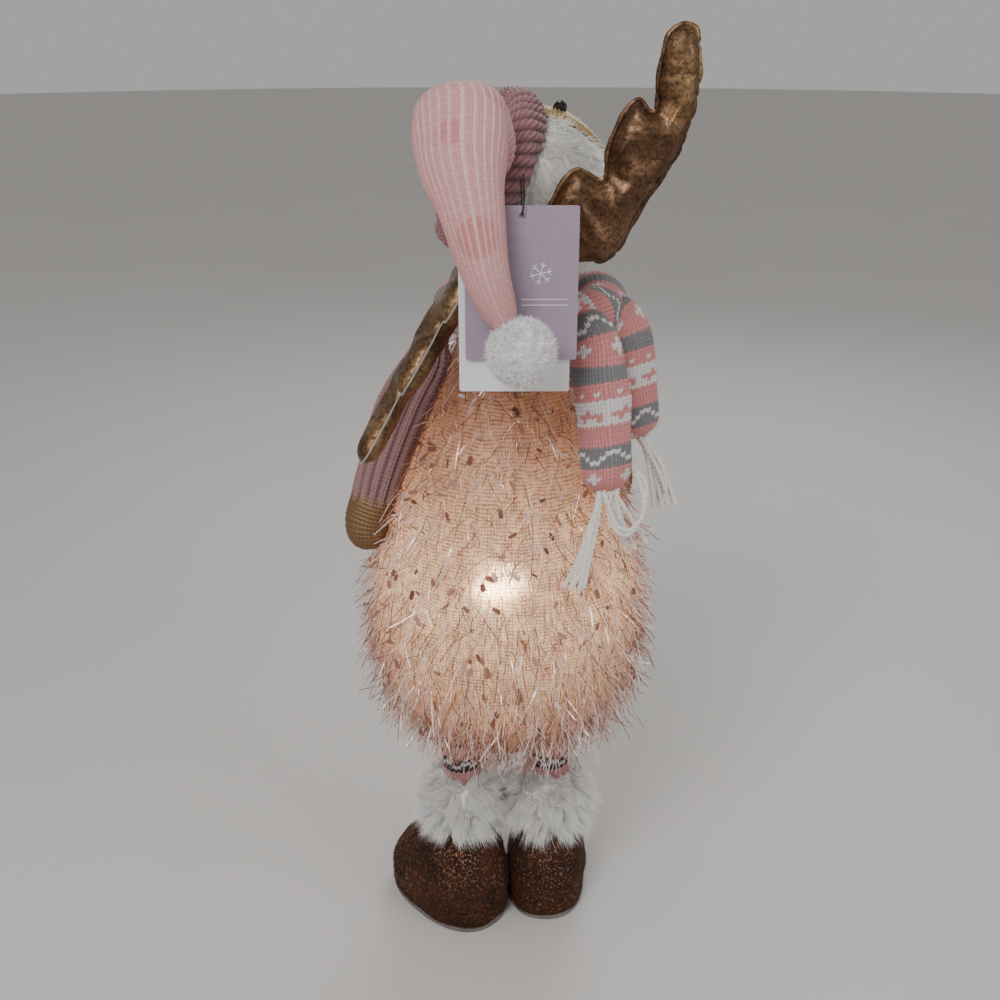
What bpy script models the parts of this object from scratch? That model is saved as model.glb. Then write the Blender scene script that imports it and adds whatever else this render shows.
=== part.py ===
"""Standing reindeer lantern: a battery-lit soft figure on two stuffed boots, about 0.6 m tall.

Metres, +Z up. The figure faces +Y and its back is towards -Y; the boots stand on z = 0. Its head has
flopped back and to the left. Every solid is modelled in the figure's own coordinates, and the root
empty shifts them so that the origin lies under the middle of the whole object.
"""

import math

import bmesh
import bpy
from mathutils import Matrix, Vector

# Driving dimensions
FIGURE_SHIFT = Vector((-0.0100, 0.0250, 0.0))  # puts the origin under the middle of the outline
GAP = 0.0003  # clearance between pieces that touch

BODY_X = 0.004
# Outside of the body's fabric cover: height and radius
BODY_PROFILE = (
    (0.1475, 0.0375),
    (0.1580, 0.0540),
    (0.1725, 0.0672),
    (0.1900, 0.0775),
    (0.2105, 0.0840),
    (0.2350, 0.0863),
    (0.2580, 0.0850),
    (0.2840, 0.0808),
    (0.3120, 0.0738),
    (0.3410, 0.0645),
    (0.3680, 0.0535),
    (0.3880, 0.0445),
    (0.4080, 0.0350),
    (0.4235, 0.0285),
)
COVER_THICKNESS = 0.0012
LINER_THICKNESS = 0.0020
WIRE_RADIUS = 0.0010

LEG_SPREAD = 0.031  # from the body's axis to a leg
LEG_DEPTH = 0.0015  # the left leg stands this far behind, the right leg this far in front
ROD_RADIUS = 0.0040
SLEEVE_RADIUS = 0.0125
SOLE_THICKNESS = 0.0030
BOOT_TOP = 0.0655
BOOT_POWER = 2.5  # how square a boot's outline is; 2 would be an ellipse
FOOT_PLATE_BOTTOM = 0.0036
FOOT_PLATE_TOP = 0.0072
FOOT_PLATE_LENGTH = 0.058
FOOT_PLATE_WIDTH = 0.042
CUFF_TOP = 0.1100

BASE_PLATE_RADIUS = 0.0360
BASE_PLATE_BOTTOM = 0.1465
BASE_PLATE_TOP = 0.1505
CASE_WIDTH = 0.0334
CASE_LENGTH = 0.0570
CASE_TOP = 0.1672
DOOR_BOTTOM = 0.1466
DOOR_TOP = 0.1482
SWITCH_Y = -0.0325
WALL = 0.0014
CELL_RADIUS = 0.00715
CELL_LENGTH = 0.0500
LAMP_HEIGHT = 0.2455

NECK_X = 0.010  # the neck post, on which the head turns
NECK_PLATE_BOTTOM = 0.4240
NECK_PLATE_TOP = 0.4265
NOD_HEIGHT = 0.4680

HEAD_RADIUS = 0.045
HEAD_CENTRE = Vector((0.018, 0.0, 0.508))
FACE_WAY = Vector((0.120, 0.780, 0.610)).normalized()
CROWN_WAY = Vector((-0.860, -0.220, 0.450)).normalized()
RIGHT_WAY = FACE_WAY.cross(CROWN_WAY).normalized()
EYE_RADIUS = 0.0037

CUFF_OFFSET = 0.025  # the cap's rolled cuff sits this far up the crown from the head's middle
TAIL_TOP = Vector((-0.0192, -0.0770, 0.5510))
TAIL_TOP_RADIUS = 0.0245
POMPOM_CENTRE = Vector((0.0108, -0.1190, 0.4450))
POMPOM_RADIUS = 0.0175

TAG_X = 0.0112
TAG_WIDTH = 0.0590
TAG_HOLE = 0.0016
TAG_HOLE_HEIGHT = 0.5100
CARD_THICKNESS = 0.0006
STRING_TOP = Vector((TAG_X, -0.0625, 0.5240))
STRING_RADIUS = 0.00045

# Stuffed antler, flat on: along its length, and across it towards the tines
ANTLER_OUTLINE = (
    (0.0000, 0.0065),
    (0.0101, 0.0084),
    (0.0192, 0.0140),
    (0.0311, 0.0158),
    (0.0431, 0.0149),
    (0.0513, 0.0102),
    (0.0522, -0.0028),
    (0.0623, 0.0009),
    (0.0742, 0.0037),
    (0.0870, 0.0037),
    (0.0962, 0.0000),
    (0.0939, -0.0102),
    (0.1044, -0.0047),
    (0.1163, 0.0000),
    (0.1273, 0.0028),
    (0.1365, -0.0009),
    (0.1383, -0.0093),
    (0.1301, -0.0177),
    (0.1172, -0.0251),
    (0.1044, -0.0298),
    (0.0861, -0.0335),
    (0.0705, -0.0335),
    (0.0458, -0.0316),
    (0.0266, -0.0316),
    (0.0137, -0.0270),
    (0.0101, -0.0177),
    (0.0027, -0.0102),
    (-0.0018, -0.0019),
)
ANTLER_THICKNESS = 0.022
RIGHT_ANTLER_ROOT = Vector((0.0264, -0.0560, 0.4783))
LEFT_ANTLER_ROOT = Vector((-0.0045, -0.0620, 0.4925))

LEFT_ARM_ANGLE = math.radians(193)
RIGHT_ARM_ANGLE = math.radians(36)
ARM_CLEARANCE = 0.0015  # between the body's cover and an arm lying on it
SHOULDER_HEIGHT = 0.4100
SHOULDER_REACH = 0.0140
# Height and radius down an arm
ARM_PROFILE = (
    (0.4200, 0.0060),
    (0.4100, 0.0125),
    (0.3900, 0.0150),
    (0.3700, 0.0150),
    (0.3450, 0.0128),
    (0.3235, 0.0112),
)
HOOF_CENTRE_HEIGHT = 0.3070
HOOF_RADII = (0.0128, 0.0128, 0.0158)

SCARF_CENTRE = Vector((0.018, 0.0, 0.4425))
SCARF_RING = 0.0420
SCARF_WIDE = 0.0165
SCARF_HIGH = 0.0145


def clear_scene():
    for obj in list(bpy.data.objects):
        bpy.data.objects.remove(obj, do_unlink=True)


def material(name, colour, roughness, metallic=0.0):
    made = bpy.data.materials.new(name)
    made.use_nodes = True
    shader = made.node_tree.nodes["Principled BSDF"]
    shader.inputs["Base Color"].default_value = (*colour, 1.0)
    shader.inputs["Roughness"].default_value = roughness
    shader.inputs["Metallic"].default_value = metallic
    made.diffuse_color = (*colour, 1.0)
    return made


class Pivot:
    """An empty on a joint's axis. Pieces made on it have their origin there."""

    def __init__(self, name, origin, parent=None):
        self.origin = Vector(origin)
        self.empty = bpy.data.objects.new(name, None)
        bpy.context.collection.objects.link(self.empty)
        if parent is None:
            self.empty.location = FIGURE_SHIFT + self.origin
        else:
            self.empty.parent = parent.empty
            self.empty.location = self.origin - parent.origin


def add_mesh(name, bm, surface, pivot, sharp_angle=40):
    """Turns a bmesh in the figure's coordinates into a named object on its pivot."""
    bmesh.ops.recalc_face_normals(bm, faces=bm.faces)
    bmesh.ops.translate(bm, verts=bm.verts, vec=-pivot.origin)
    mesh = bpy.data.meshes.new(name)
    bm.to_mesh(mesh)
    bm.free()
    mesh.materials.append(surface)
    mesh.shade_smooth()
    mesh.set_sharp_from_angle(angle=math.radians(sharp_angle))
    obj = bpy.data.objects.new(name, mesh)
    bpy.context.collection.objects.link(obj)
    obj.parent = pivot.empty
    return obj


def add_tube(name, points, radius, surface, pivot, closed=False):
    """A round wire or cord through the points, with filled ends."""
    curve = bpy.data.curves.new(name, "CURVE")
    curve.dimensions = "3D"
    curve.bevel_depth = radius
    curve.bevel_resolution = 1
    curve.use_fill_caps = not closed
    spline = curve.splines.new("POLY")
    spline.points.add(len(points) - 1)
    for point, place in zip(spline.points, points):
        point.co = (*(Vector(place) - pivot.origin), 1.0)
    spline.use_cyclic_u = closed
    curve.materials.append(surface)
    obj = bpy.data.objects.new(name, curve)
    bpy.context.collection.objects.link(obj)
    obj.parent = pivot.empty
    return obj


def boolean(obj, cutter, operation="DIFFERENCE"):
    cut = obj.modifiers.new(operation.lower(), "BOOLEAN")
    cut.operation = operation
    cut.solver = "EXACT"
    cut.object = cutter
    cutter.hide_render = True
    cutter.display_type = "WIRE"


def ellipse(centre, side, up, wide, high, count, power=2.0):
    """Points round a superellipse; power 2 is an ordinary ellipse."""
    points = []
    for step in range(count):
        turn = math.tau * step / count
        across = math.copysign(abs(math.cos(turn)) ** (2 / power), math.cos(turn))
        along = math.copysign(abs(math.sin(turn)) ** (2 / power), math.sin(turn))
        points.append(centre + side * (wide * across) + up * (high * along))
    return points


def loft(rings):
    """A closed solid through rings of points, capped at both ends."""
    bm = bmesh.new()
    loops = [[bm.verts.new(point) for point in ring] for ring in rings]
    count = len(loops[0])
    for lower, upper in zip(loops, loops[1:]):
        for step in range(count):
            after = (step + 1) % count
            bm.faces.new((lower[step], lower[after], upper[after], upper[step]))
    bm.faces.new(loops[0])
    bm.faces.new(loops[-1])
    return bm


def lathe(profile, count, axis_x, axis_y):
    """A ring-shaped solid: a closed outline of (radius, height) turned about an upright axis."""
    bm = bmesh.new()
    loops = []
    for step in range(count):
        turn = math.tau * step / count
        loops.append(
            [
                bm.verts.new((axis_x + radius * math.cos(turn), axis_y + radius * math.sin(turn), height))
                for radius, height in profile
            ]
        )
    for step in range(count):
        here = loops[step]
        there = loops[(step + 1) % count]
        for corner in range(len(profile)):
            after = (corner + 1) % len(profile)
            bm.faces.new((here[corner], there[corner], there[after], here[after]))
    return bm


def drum(centre_x, centre_y, bottom, top, radius, count, bevel=0.0):
    """An upright cylinder, with a small chamfer where bevel is given."""
    side, up = Vector((1, 0, 0)), Vector((0, 1, 0))
    levels = [(bottom, radius), (top, radius)]
    if bevel:
        levels = [
            (bottom, radius - bevel),
            (bottom + bevel, radius),
            (top - bevel, radius),
            (top, radius - bevel),
        ]
    return loft([ellipse(Vector((centre_x, centre_y, z)), side, up, r, r, count) for z, r in levels])


def box(low, high):
    bm = bmesh.new()
    size = Vector(high) - Vector(low)
    middle = (Vector(high) + Vector(low)) / 2
    bmesh.ops.create_cube(bm, size=1.0, matrix=Matrix.Translation(middle) @ Matrix.Diagonal((*size, 1.0)))
    return bm


def ball(centre, radii, count, axes=None):
    """An ellipsoid; axes are the three unit directions of its radii."""
    bm = bmesh.new()
    turn = Matrix(axes).transposed().to_4x4() if axes else Matrix.Identity(4)
    place = Matrix.Translation(centre) @ turn @ Matrix.Diagonal((*radii, 1.0))
    bmesh.ops.create_uvsphere(bm, u_segments=count, v_segments=count // 2 + 2, radius=1.0, matrix=place)
    return bm


def body_radius(height):
    """Outer radius of the body's cover at a height."""
    for (low, low_radius), (high, high_radius) in zip(BODY_PROFILE, BODY_PROFILE[1:]):
        if height <= high:
            share = max(0.0, (height - low) / (high - low))
            return low_radius + share * (high_radius - low_radius)
    return BODY_PROFILE[-1][1]


def sweep(path, count, side):
    """Rings along a path of (centre, wide, high), each square to the path, with side as its width."""
    rings = []
    for index, (centre, wide, high) in enumerate(path):
        before = path[max(index - 1, 0)][0]
        after = path[min(index + 1, len(path) - 1)][0]
        along = (after - before).normalized()
        across = (side - along * side.dot(along)).normalized()
        rings.append(ellipse(centre, across, along.cross(across), wide, high, count))
    return loft(rings)


# Boots and legs

# Height, and the outline's share of the boot's full length and width
BOOT_LEVELS = (
    (0.0033, 0.95, 0.95),
    (0.0110, 1.00, 1.00),
    (0.0240, 1.00, 1.00),
    (0.0380, 0.92, 0.95),
    (0.0500, 0.76, 0.84),
    (0.0600, 0.56, 0.68),
    (0.0655, 0.40, 0.52),
)


def boot_ring(spec, height, length_share, width_share):
    """One level of a boot: its middle moves from the sole's middle to the leg as it rises."""
    rise = max(0.0, (height - 0.02) / (BOOT_TOP - 0.02))
    middle = spec["centre"].lerp(spec["leg"], rise)
    return ellipse(
        Vector((middle.x, middle.y, height)),
        spec["toe"],
        spec["toe"].cross(Vector((0, 0, 1))),
        spec["length"] / 2 * length_share,
        spec["width"] / 2 * width_share,
        22,
        BOOT_POWER,
    )


def foot_plate(spec, bottom, top, clearance=0.0):
    """The steel plate under a leg, or the room that it needs."""
    middle = spec["centre"].lerp(spec["leg"], 0.6)
    across = spec["toe"].cross(Vector((0, 0, 1)))
    length = FOOT_PLATE_LENGTH / 2 + clearance
    width = FOOT_PLATE_WIDTH / 2 + clearance
    rings = []
    for height in (bottom, top):
        centre = Vector((middle.x, middle.y, height))
        rings.append(ellipse(centre, spec["toe"], across, length, width, 16, BOOT_POWER))
    return loft(rings)


def add_boot(side, spec, pivot, surfaces):
    sole_levels = ((0.0, 0.955), (0.0010, 0.97), (SOLE_THICKNESS, 0.97))
    sole = loft([boot_ring(spec, z, share, share) for z, share in sole_levels])
    add_mesh(f"sole_{side}", sole, surfaces["sole"], pivot)
    stuffed = loft([boot_ring(spec, *level) for level in BOOT_LEVELS])
    boot = add_mesh(f"boot_{side}", stuffed, surfaces["boot"], pivot)
    room = foot_plate(spec, 0.0, FOOT_PLATE_TOP + GAP, GAP)
    boolean(boot, add_mesh(f"cut_boot_{side}", room, surfaces["boot"], pivot))
    leg = spec["leg"]
    hole = drum(leg.x, leg.y, FOOT_PLATE_BOTTOM, BOOT_TOP + 0.01, ROD_RADIUS + GAP, 12)
    boolean(boot, add_mesh(f"cut_boot_hole_{side}", hole, surfaces["boot"], pivot))
    plate = foot_plate(spec, FOOT_PLATE_BOTTOM, FOOT_PLATE_TOP)
    add_mesh(f"foot_plate_{side}", plate, surfaces["steel"], pivot)
    rod = drum(leg.x, leg.y, FOOT_PLATE_TOP + GAP, BASE_PLATE_TOP + 0.003, ROD_RADIUS, 12)
    add_mesh(f"leg_rod_{side}", rod, surfaces["steel"], pivot)


def add_leg(side, leg, pivot, surfaces):
    bore = ROD_RADIUS + GAP
    foot = BOOT_TOP + 0.001
    top = BASE_PLATE_BOTTOM - 0.0005
    sleeve = ((bore, foot), (SLEEVE_RADIUS, foot), (SLEEVE_RADIUS, top), (bore, top))
    add_mesh(f"leg_sleeve_{side}", lathe(sleeve, 20, leg.x, leg.y), surfaces["leg"], pivot)
    hole = SLEEVE_RADIUS + 0.0004
    cuff = (
        (hole, BOOT_TOP + 0.0035),
        (0.0210, BOOT_TOP + 0.0010),
        (0.0280, 0.0740),
        (0.0305, 0.0860),
        (0.0290, 0.0990),
        (0.0220, CUFF_TOP - 0.0015),
        (hole, CUFF_TOP),
    )
    add_mesh(f"fur_cuff_{side}", lathe(cuff, 20, leg.x, leg.y), surfaces["fur"], pivot)


# Base, batteries and lamp


def add_base(pivot, legs, surfaces):
    plate = add_mesh(
        "base_plate",
        drum(BODY_X, 0, BASE_PLATE_BOTTOM, BASE_PLATE_TOP, BASE_PLATE_RADIUS, 32),
        surfaces["plastic"],
        pivot,
    )
    half_width = CASE_WIDTH / 2 + GAP
    half_length = CASE_LENGTH / 2 + GAP
    window = box((BODY_X - half_width, -half_length, 0.14), (BODY_X + half_width, half_length, 0.16))
    boolean(plate, add_mesh("cut_window", window, surfaces["plastic"], pivot))
    for side, leg in legs.items():
        hole = drum(leg.x, leg.y, 0.14, 0.16, ROD_RADIUS + GAP, 12)
        boolean(plate, add_mesh(f"cut_rod_{side}", hole, surfaces["plastic"], pivot))
    slot = box((BODY_X - 0.0045, SWITCH_Y - 0.0017, 0.14), (BODY_X + 0.0045, SWITCH_Y + 0.0017, 0.16))
    boolean(plate, add_mesh("cut_slot", slot, surfaces["plastic"], pivot))


def add_battery_case(pivot, door_pivot, knob_pivot, surfaces):
    case_bottom = DOOR_TOP + GAP
    half_width = CASE_WIDTH / 2
    half_length = CASE_LENGTH / 2
    case = add_mesh(
        "battery_case",
        box((BODY_X - half_width, -half_length, case_bottom), (BODY_X + half_width, half_length, CASE_TOP)),
        surfaces["plastic"],
        pivot,
    )
    room = box(
        (BODY_X - half_width + WALL, -half_length + WALL, 0.14),
        (BODY_X + half_width - WALL, half_length - WALL, CASE_TOP - WALL),
    )
    boolean(case, add_mesh("cut_case", room, surfaces["plastic"], pivot))
    lead_hole = drum(BODY_X, 0, 0.16, 0.17, 0.0014, 10)
    boolean(case, add_mesh("cut_lead_hole", lead_hole, surfaces["plastic"], pivot))
    cell_height = case_bottom + 0.0078
    for number, offset in ((1, -0.0076), (2, 0.0076)):
        points = []
        for along, radius in ((-0.5, 0.98), (0.465, 0.98), (0.465, 0.36), (0.5, 0.36)):
            centre = Vector((BODY_X + offset, along * CELL_LENGTH, cell_height))
            size = CELL_RADIUS * radius
            points.append(ellipse(centre, Vector((1, 0, 0)), Vector((0, 0, 1)), size, size, 16))
        add_mesh(f"battery_cell_{number}", loft(points), surfaces["cell"], pivot)
    for end, sign in (("back", -1), ("front", 1)):
        near = sign * (CELL_LENGTH / 2 + 0.0004)
        far = sign * (CELL_LENGTH / 2 + 0.0010)
        low = (BODY_X - 0.013, min(near, far), case_bottom + 0.002)
        high = (BODY_X + 0.013, max(near, far), case_bottom + 0.0130)
        add_mesh(f"contact_strip_{end}", box(low, high), surfaces["steel"], pivot)
    door = box(
        (BODY_X - half_width, -half_length, DOOR_BOTTOM),
        (BODY_X + half_width, half_length, DOOR_TOP),
    )
    cover = add_mesh("battery_door", door, surfaces["plastic"], door_pivot)
    screw_y = half_length - 0.0033
    sink = drum(BODY_X, screw_y, 0.14, 0.15, 0.0022, 14)
    boolean(cover, add_mesh("cut_screw", sink, surfaces["plastic"], door_pivot))
    screw = drum(BODY_X, screw_y, DOOR_BOTTOM + 0.0001, DOOR_TOP - 0.0001, 0.0019, 14)
    add_mesh("door_screw", screw, surfaces["steel"], door_pivot)
    switch = box((BODY_X - 0.0070, SWITCH_Y - 0.0020, 0.1509), (BODY_X + 0.0070, -0.0293, 0.1565))
    add_mesh("switch_body", switch, surfaces["plastic"], pivot)
    knob = box(
        (BODY_X - 0.0040, SWITCH_Y - 0.0013, 0.1445),
        (BODY_X - 0.0005, SWITCH_Y + 0.0013, BASE_PLATE_TOP),
    )
    add_mesh("switch_knob", knob, surfaces["knob"], knob_pivot)


def add_lamp(pivot, surfaces):
    foot = CASE_TOP + GAP
    stem = (
        (0.0026, foot),
        (0.0090, foot),
        (0.0090, foot + 0.0015),
        (0.0042, foot + 0.0045),
        (0.0042, LAMP_HEIGHT),
        (0.0026, LAMP_HEIGHT),
    )
    add_mesh("led_stem", lathe(stem, 16, BODY_X, 0), surfaces["plastic"], pivot)
    lead = [(BODY_X, 0, CASE_TOP - 0.0035 + 0.008 * step) for step in range(11)]
    add_tube("led_lead", lead, 0.0009, surfaces["lead"], pivot)
    base = LAMP_HEIGHT + GAP
    holder = drum(BODY_X, 0, base, base + 0.0080, 0.0075, 16, 0.001)
    add_mesh("led_holder", holder, surfaces["plastic"], pivot)
    glass = base + 0.0083
    levels = ((0.0, 0.0050), (0.0030, 0.0062), (0.0070, 0.0062), (0.0100, 0.0048), (0.0118, 0.0022))
    rings = []
    for rise, radius in levels:
        centre = Vector((BODY_X, 0, glass + rise))
        rings.append(ellipse(centre, Vector((1, 0, 0)), Vector((0, 1, 0)), radius, radius, 16))
    add_mesh("led_lamp", loft(rings), surfaces["lamp"], pivot)


# Lantern frame and the body's skins


def shell(inset, thickness, low, high):
    """A closed outline between two offsets of the body's profile."""
    heights = [low] + [z for z, _ in BODY_PROFILE if low + 0.004 < z < high - 0.004] + [high]
    outside = [(body_radius(z) - inset, z) for z in heights]
    inside = [(body_radius(z) - inset - thickness, z) for z in reversed(heights)]
    return outside + inside


def add_skins(pivot, surfaces):
    cover = shell(0.0, COVER_THICKNESS, BODY_PROFILE[0][0], BODY_PROFILE[-1][0])
    add_mesh("body_cover", lathe(cover, 28, BODY_X, 0), surfaces["cover"], pivot, 60)
    liner = shell(COVER_THICKNESS + 0.0006, LINER_THICKNESS, 0.1580, 0.4180)
    add_mesh("liner", lathe(liner, 20, BODY_X, 0), surfaces["liner"], pivot, 60)


def add_frame(pivot, surfaces):
    inset = COVER_THICKNESS + LINER_THICKNESS + 0.0026
    for number in range(4):
        turn = math.radians(45 + 90 * number)
        stations = [(BASE_PLATE_RADIUS - 0.002, BASE_PLATE_TOP + 0.0015)]
        stations += [(body_radius(z) - inset, z) for z, _ in BODY_PROFILE[1:-1]]
        stations += [(0.0210, 0.4225)]
        points = [(BODY_X + r * math.cos(turn), r * math.sin(turn), z) for r, z in stations]
        add_tube(f"frame_rib_{number + 1}", points, WIRE_RADIUS, surfaces["wire"], pivot)
    for name, height in (("low", 0.190), ("middle", 0.258), ("high", 0.341)):
        radius = body_radius(height) - inset - 2 * WIRE_RADIUS - 0.0006
        points = []
        for step in range(20):
            turn = math.tau * step / 20
            points.append((BODY_X + radius * math.cos(turn), radius * math.sin(turn), height))
        add_tube(f"frame_hoop_{name}", points, WIRE_RADIUS, surfaces["wire"], pivot, closed=True)


def add_neck(pivot, neck_pivot, surfaces):
    plate = drum(NECK_X - 0.004, 0, NECK_PLATE_BOTTOM, NECK_PLATE_TOP, 0.0250, 28)
    post = add_mesh("neck_plate", plate, surfaces["plastic"], pivot)
    stub = drum(NECK_X, 0, NECK_PLATE_TOP - 0.001, 0.4500, 0.0050, 16)
    boolean(post, add_mesh("join_post", stub, surfaces["plastic"], pivot), "UNION")
    core = drum(NECK_X, 0, 0.4270, 0.4605, 0.0145, 20, 0.002)
    neck = add_mesh("neck_core", core, surfaces["fur"], neck_pivot)
    bore = drum(NECK_X, 0, 0.42, 0.4508, 0.0053, 16)
    boolean(neck, add_mesh("cut_neck", bore, surfaces["fur"], neck_pivot))


# Head and cap

HEAD_AXES = (RIGHT_WAY, FACE_WAY, CROWN_WAY)


def on_head(right, face, crown, distance):
    """A point at a distance from the head's middle, in a direction given in the head's own axes."""
    way = RIGHT_WAY * right + FACE_WAY * face + CROWN_WAY * crown
    return HEAD_CENTRE + way.normalized() * distance


def head_ball(clearance=0.0):
    return ball(HEAD_CENTRE, [HEAD_RADIUS + clearance] * 3, 24, HEAD_AXES)


def add_head(pivot, surfaces):
    add_mesh("head", head_ball(), surfaces["fur"], pivot)
    muzzle = ball(on_head(0, 1, -0.16, 0.044), (0.0215, 0.0230, 0.0190), 20, HEAD_AXES)
    face = add_mesh("face_knit", muzzle, surfaces["gold"], pivot)
    boolean(face, add_mesh("cut_face", head_ball(GAP), surfaces["gold"], pivot))
    nose = ball(on_head(0, 1, -0.05, 0.0735), (0.0065, 0.0050, 0.0050), 12, HEAD_AXES)
    add_mesh("nose", nose, surfaces["bead"], pivot)
    for side, sign in (("left", -1), ("right", 1)):
        place = on_head(sign * 0.76, 0.60, 0.15, HEAD_RADIUS + EYE_RADIUS + GAP)
        add_mesh(f"eye_{side}", ball(place, [EYE_RADIUS] * 3, 12), surfaces["bead"], pivot)


# Section of the rolled cuff: outwards from the ring's axis, and along the crown
CUFF_SECTION = (
    (0.0380, -0.0070),
    (0.0420, -0.0115),
    (0.0485, -0.0110),
    (0.0510, -0.0040),
    (0.0490, 0.0050),
    (0.0430, 0.0080),
    (0.0385, 0.0050),
)


def cuff_ring(centre, grow):
    """The rolled cuff round the head; grow above 1 gives the room that it needs."""
    count = 24
    bm = bmesh.new()
    loops = []
    for step in range(count):
        turn = math.tau * step / count
        out = RIGHT_WAY * math.cos(turn) + FACE_WAY * math.sin(turn)
        section = [(0.0440 + (wide - 0.0440) * grow, high * grow) for wide, high in CUFF_SECTION]
        loops.append([bm.verts.new(centre + out * wide + CROWN_WAY * high) for wide, high in section])
    for here, there in zip(loops, loops[1:] + loops[:1]):
        for corner in range(len(CUFF_SECTION)):
            after = (corner + 1) % len(CUFF_SECTION)
            bm.faces.new((here[corner], there[corner], there[after], here[after]))
    return bm


def add_cap(pivot, tail_pivot, surfaces):
    ring_centre = HEAD_CENTRE + CROWN_WAY * CUFF_OFFSET
    cuff = add_mesh("hat_cuff", cuff_ring(ring_centre, 1.0), surfaces["cuff"], pivot, 60)
    boolean(cuff, add_mesh("cut_cuff", head_ball(GAP), surfaces["cuff"], pivot))

    start = ring_centre + CROWN_WAY * 0.0088
    # How far up the crown, how far folded over, the radius, and the way that the cap runs there
    path = (
        (0.0, Vector((0, 0, 0)), 0.0400, CROWN_WAY),
        (0.010, Vector((0, -0.006, 0)), 0.0405, Vector((-0.75, -0.55, 0.36))),
        (0.017, Vector((0, -0.018, 0.001)), 0.0380, Vector((-0.45, -0.86, 0.22))),
        (0.019, Vector((0.002, -0.032, 0.001)), 0.0330, Vector((-0.15, -0.98, 0.10))),
        (0.016, Vector((0.004, -0.045, 0.001)), 0.0255, Vector((0, -1, 0))),
    )
    rings = []
    for rise, fold, radius, way in path:
        centre = start + CROWN_WAY * rise + fold
        along = way.normalized()
        across = (RIGHT_WAY - along * RIGHT_WAY.dot(along)).normalized()
        rings.append(ellipse(centre, across, along.cross(across), radius, radius, 24))
    crown = add_mesh("hat_crown", loft(rings), surfaces["cap"], pivot, 60)
    boolean(crown, add_mesh("cut_crown", head_ball(GAP), surfaces["cap"], pivot))
    boolean(crown, add_mesh("cut_crown_cuff", cuff_ring(ring_centre, 1.08), surfaces["cap"], pivot))
    fold = ball(TAIL_TOP, [TAIL_TOP_RADIUS + 0.0008] * 3, 24)
    boolean(crown, add_mesh("cut_fold", fold, surfaces["cap"], pivot))

    tail = add_mesh("hat_tail", ball(TAIL_TOP, [TAIL_TOP_RADIUS] * 3, 20), surfaces["cap"], tail_pivot)
    path = [
        (TAIL_TOP + Vector((0, -0.002, 0.004)), 0.0235, 0.0200),
        (Vector((-0.0190, -0.0985, 0.5335)), 0.0222, 0.0150),
        (Vector((-0.0130, -0.1125, 0.5115)), 0.0176, 0.0125),
        (Vector((-0.0076, -0.1140, 0.4830)), 0.0125, 0.0095),
        (Vector((-0.0010, -0.1145, 0.4615)), 0.0072, 0.0065),
    ]
    fall = add_mesh("join_tail", sweep(path, 20, Vector((1, 0, 0))), surfaces["cap"], tail_pivot)
    boolean(tail, fall, "UNION")
    add_mesh("pompom", ball(POMPOM_CENTRE, [POMPOM_RADIUS] * 3, 18), surfaces["fur"], tail_pivot)


def add_antler(name, root, along, tines, pivot, surfaces):
    """A flat outline thickened both ways and rounded along its rim."""
    along = along.normalized()
    tines = (tines - along * tines.dot(along)).normalized()
    flat = along.cross(tines)
    bm = bmesh.new()
    near = root - flat * (ANTLER_THICKNESS / 2)
    corners = [bm.verts.new(near + along * s + tines * t) for s, t in ANTLER_OUTLINE]
    face = bm.faces.new(corners)
    grown = bmesh.ops.extrude_face_region(bm, geom=[face])
    moved = [item for item in grown["geom"] if isinstance(item, bmesh.types.BMVert)]
    bmesh.ops.translate(bm, verts=moved, vec=flat * ANTLER_THICKNESS)
    antler = add_mesh(name, bm, surfaces["antler"], pivot)
    rounded = antler.modifiers.new("rounded", "BEVEL")
    rounded.width = 0.0055
    rounded.segments = 2
    rounded.limit_method = "ANGLE"
    rounded.angle_limit = math.radians(70)


def add_tags(pivot, surfaces):
    cards = (
        ("swing_tag", TAG_X - TAG_WIDTH / 2, 0.4340, 0.5148, -0.0928),
        ("back_tag", TAG_X - TAG_WIDTH / 2 - 0.0035, 0.4155, 0.5135, -0.0898),
    )
    for name, left, bottom, top, near in cards:
        sheet = box((left, near, bottom), (left + TAG_WIDTH, near + CARD_THICKNESS, top))
        card = add_mesh(name, sheet, surfaces[name], pivot)
        hole = []
        for depth in (-0.096, -0.086):
            centre = Vector((TAG_X, depth, TAG_HOLE_HEIGHT))
            hole.append(ellipse(centre, Vector((1, 0, 0)), Vector((0, 0, 1)), TAG_HOLE, TAG_HOLE, 12))
        boolean(card, add_mesh(f"cut_{name}", loft(hole), surfaces[name], pivot))
    add_tube("tag_string", string_route(), STRING_RADIUS, surfaces["string"], pivot)


def string_route():
    """A loop from the cap's cuff through both cards' holes and back over their top edges."""
    knots = (
        (0.0000, -0.0625, 0.5240),
        (0.0000, -0.0700, 0.5195),
        (0.0000, -0.0790, 0.5130),
        (0.0000, -0.0870, 0.5103),
        (0.0000, -0.0935, 0.5100),
        (0.0002, -0.0956, 0.5116),
        (0.0006, -0.0954, 0.5150),
        (0.0010, -0.0935, 0.5182),
        (0.0012, -0.0870, 0.5198),
        (0.0012, -0.0760, 0.5212),
        (0.0012, -0.0680, 0.5240),
        (0.0012, -0.0640, 0.5262),
    )
    points = [Vector((TAG_X + x, y, z)) for x, y, z in knots]
    smooth = []
    for index in range(len(points) - 1):
        before = points[max(index - 1, 0)]
        here, there = points[index], points[index + 1]
        beyond = points[min(index + 2, len(points) - 1)]
        for share in (0.0, 1 / 3, 2 / 3):
            smooth.append(catmull_rom(before, here, there, beyond, share))
    return smooth + [points[-1]]


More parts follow.
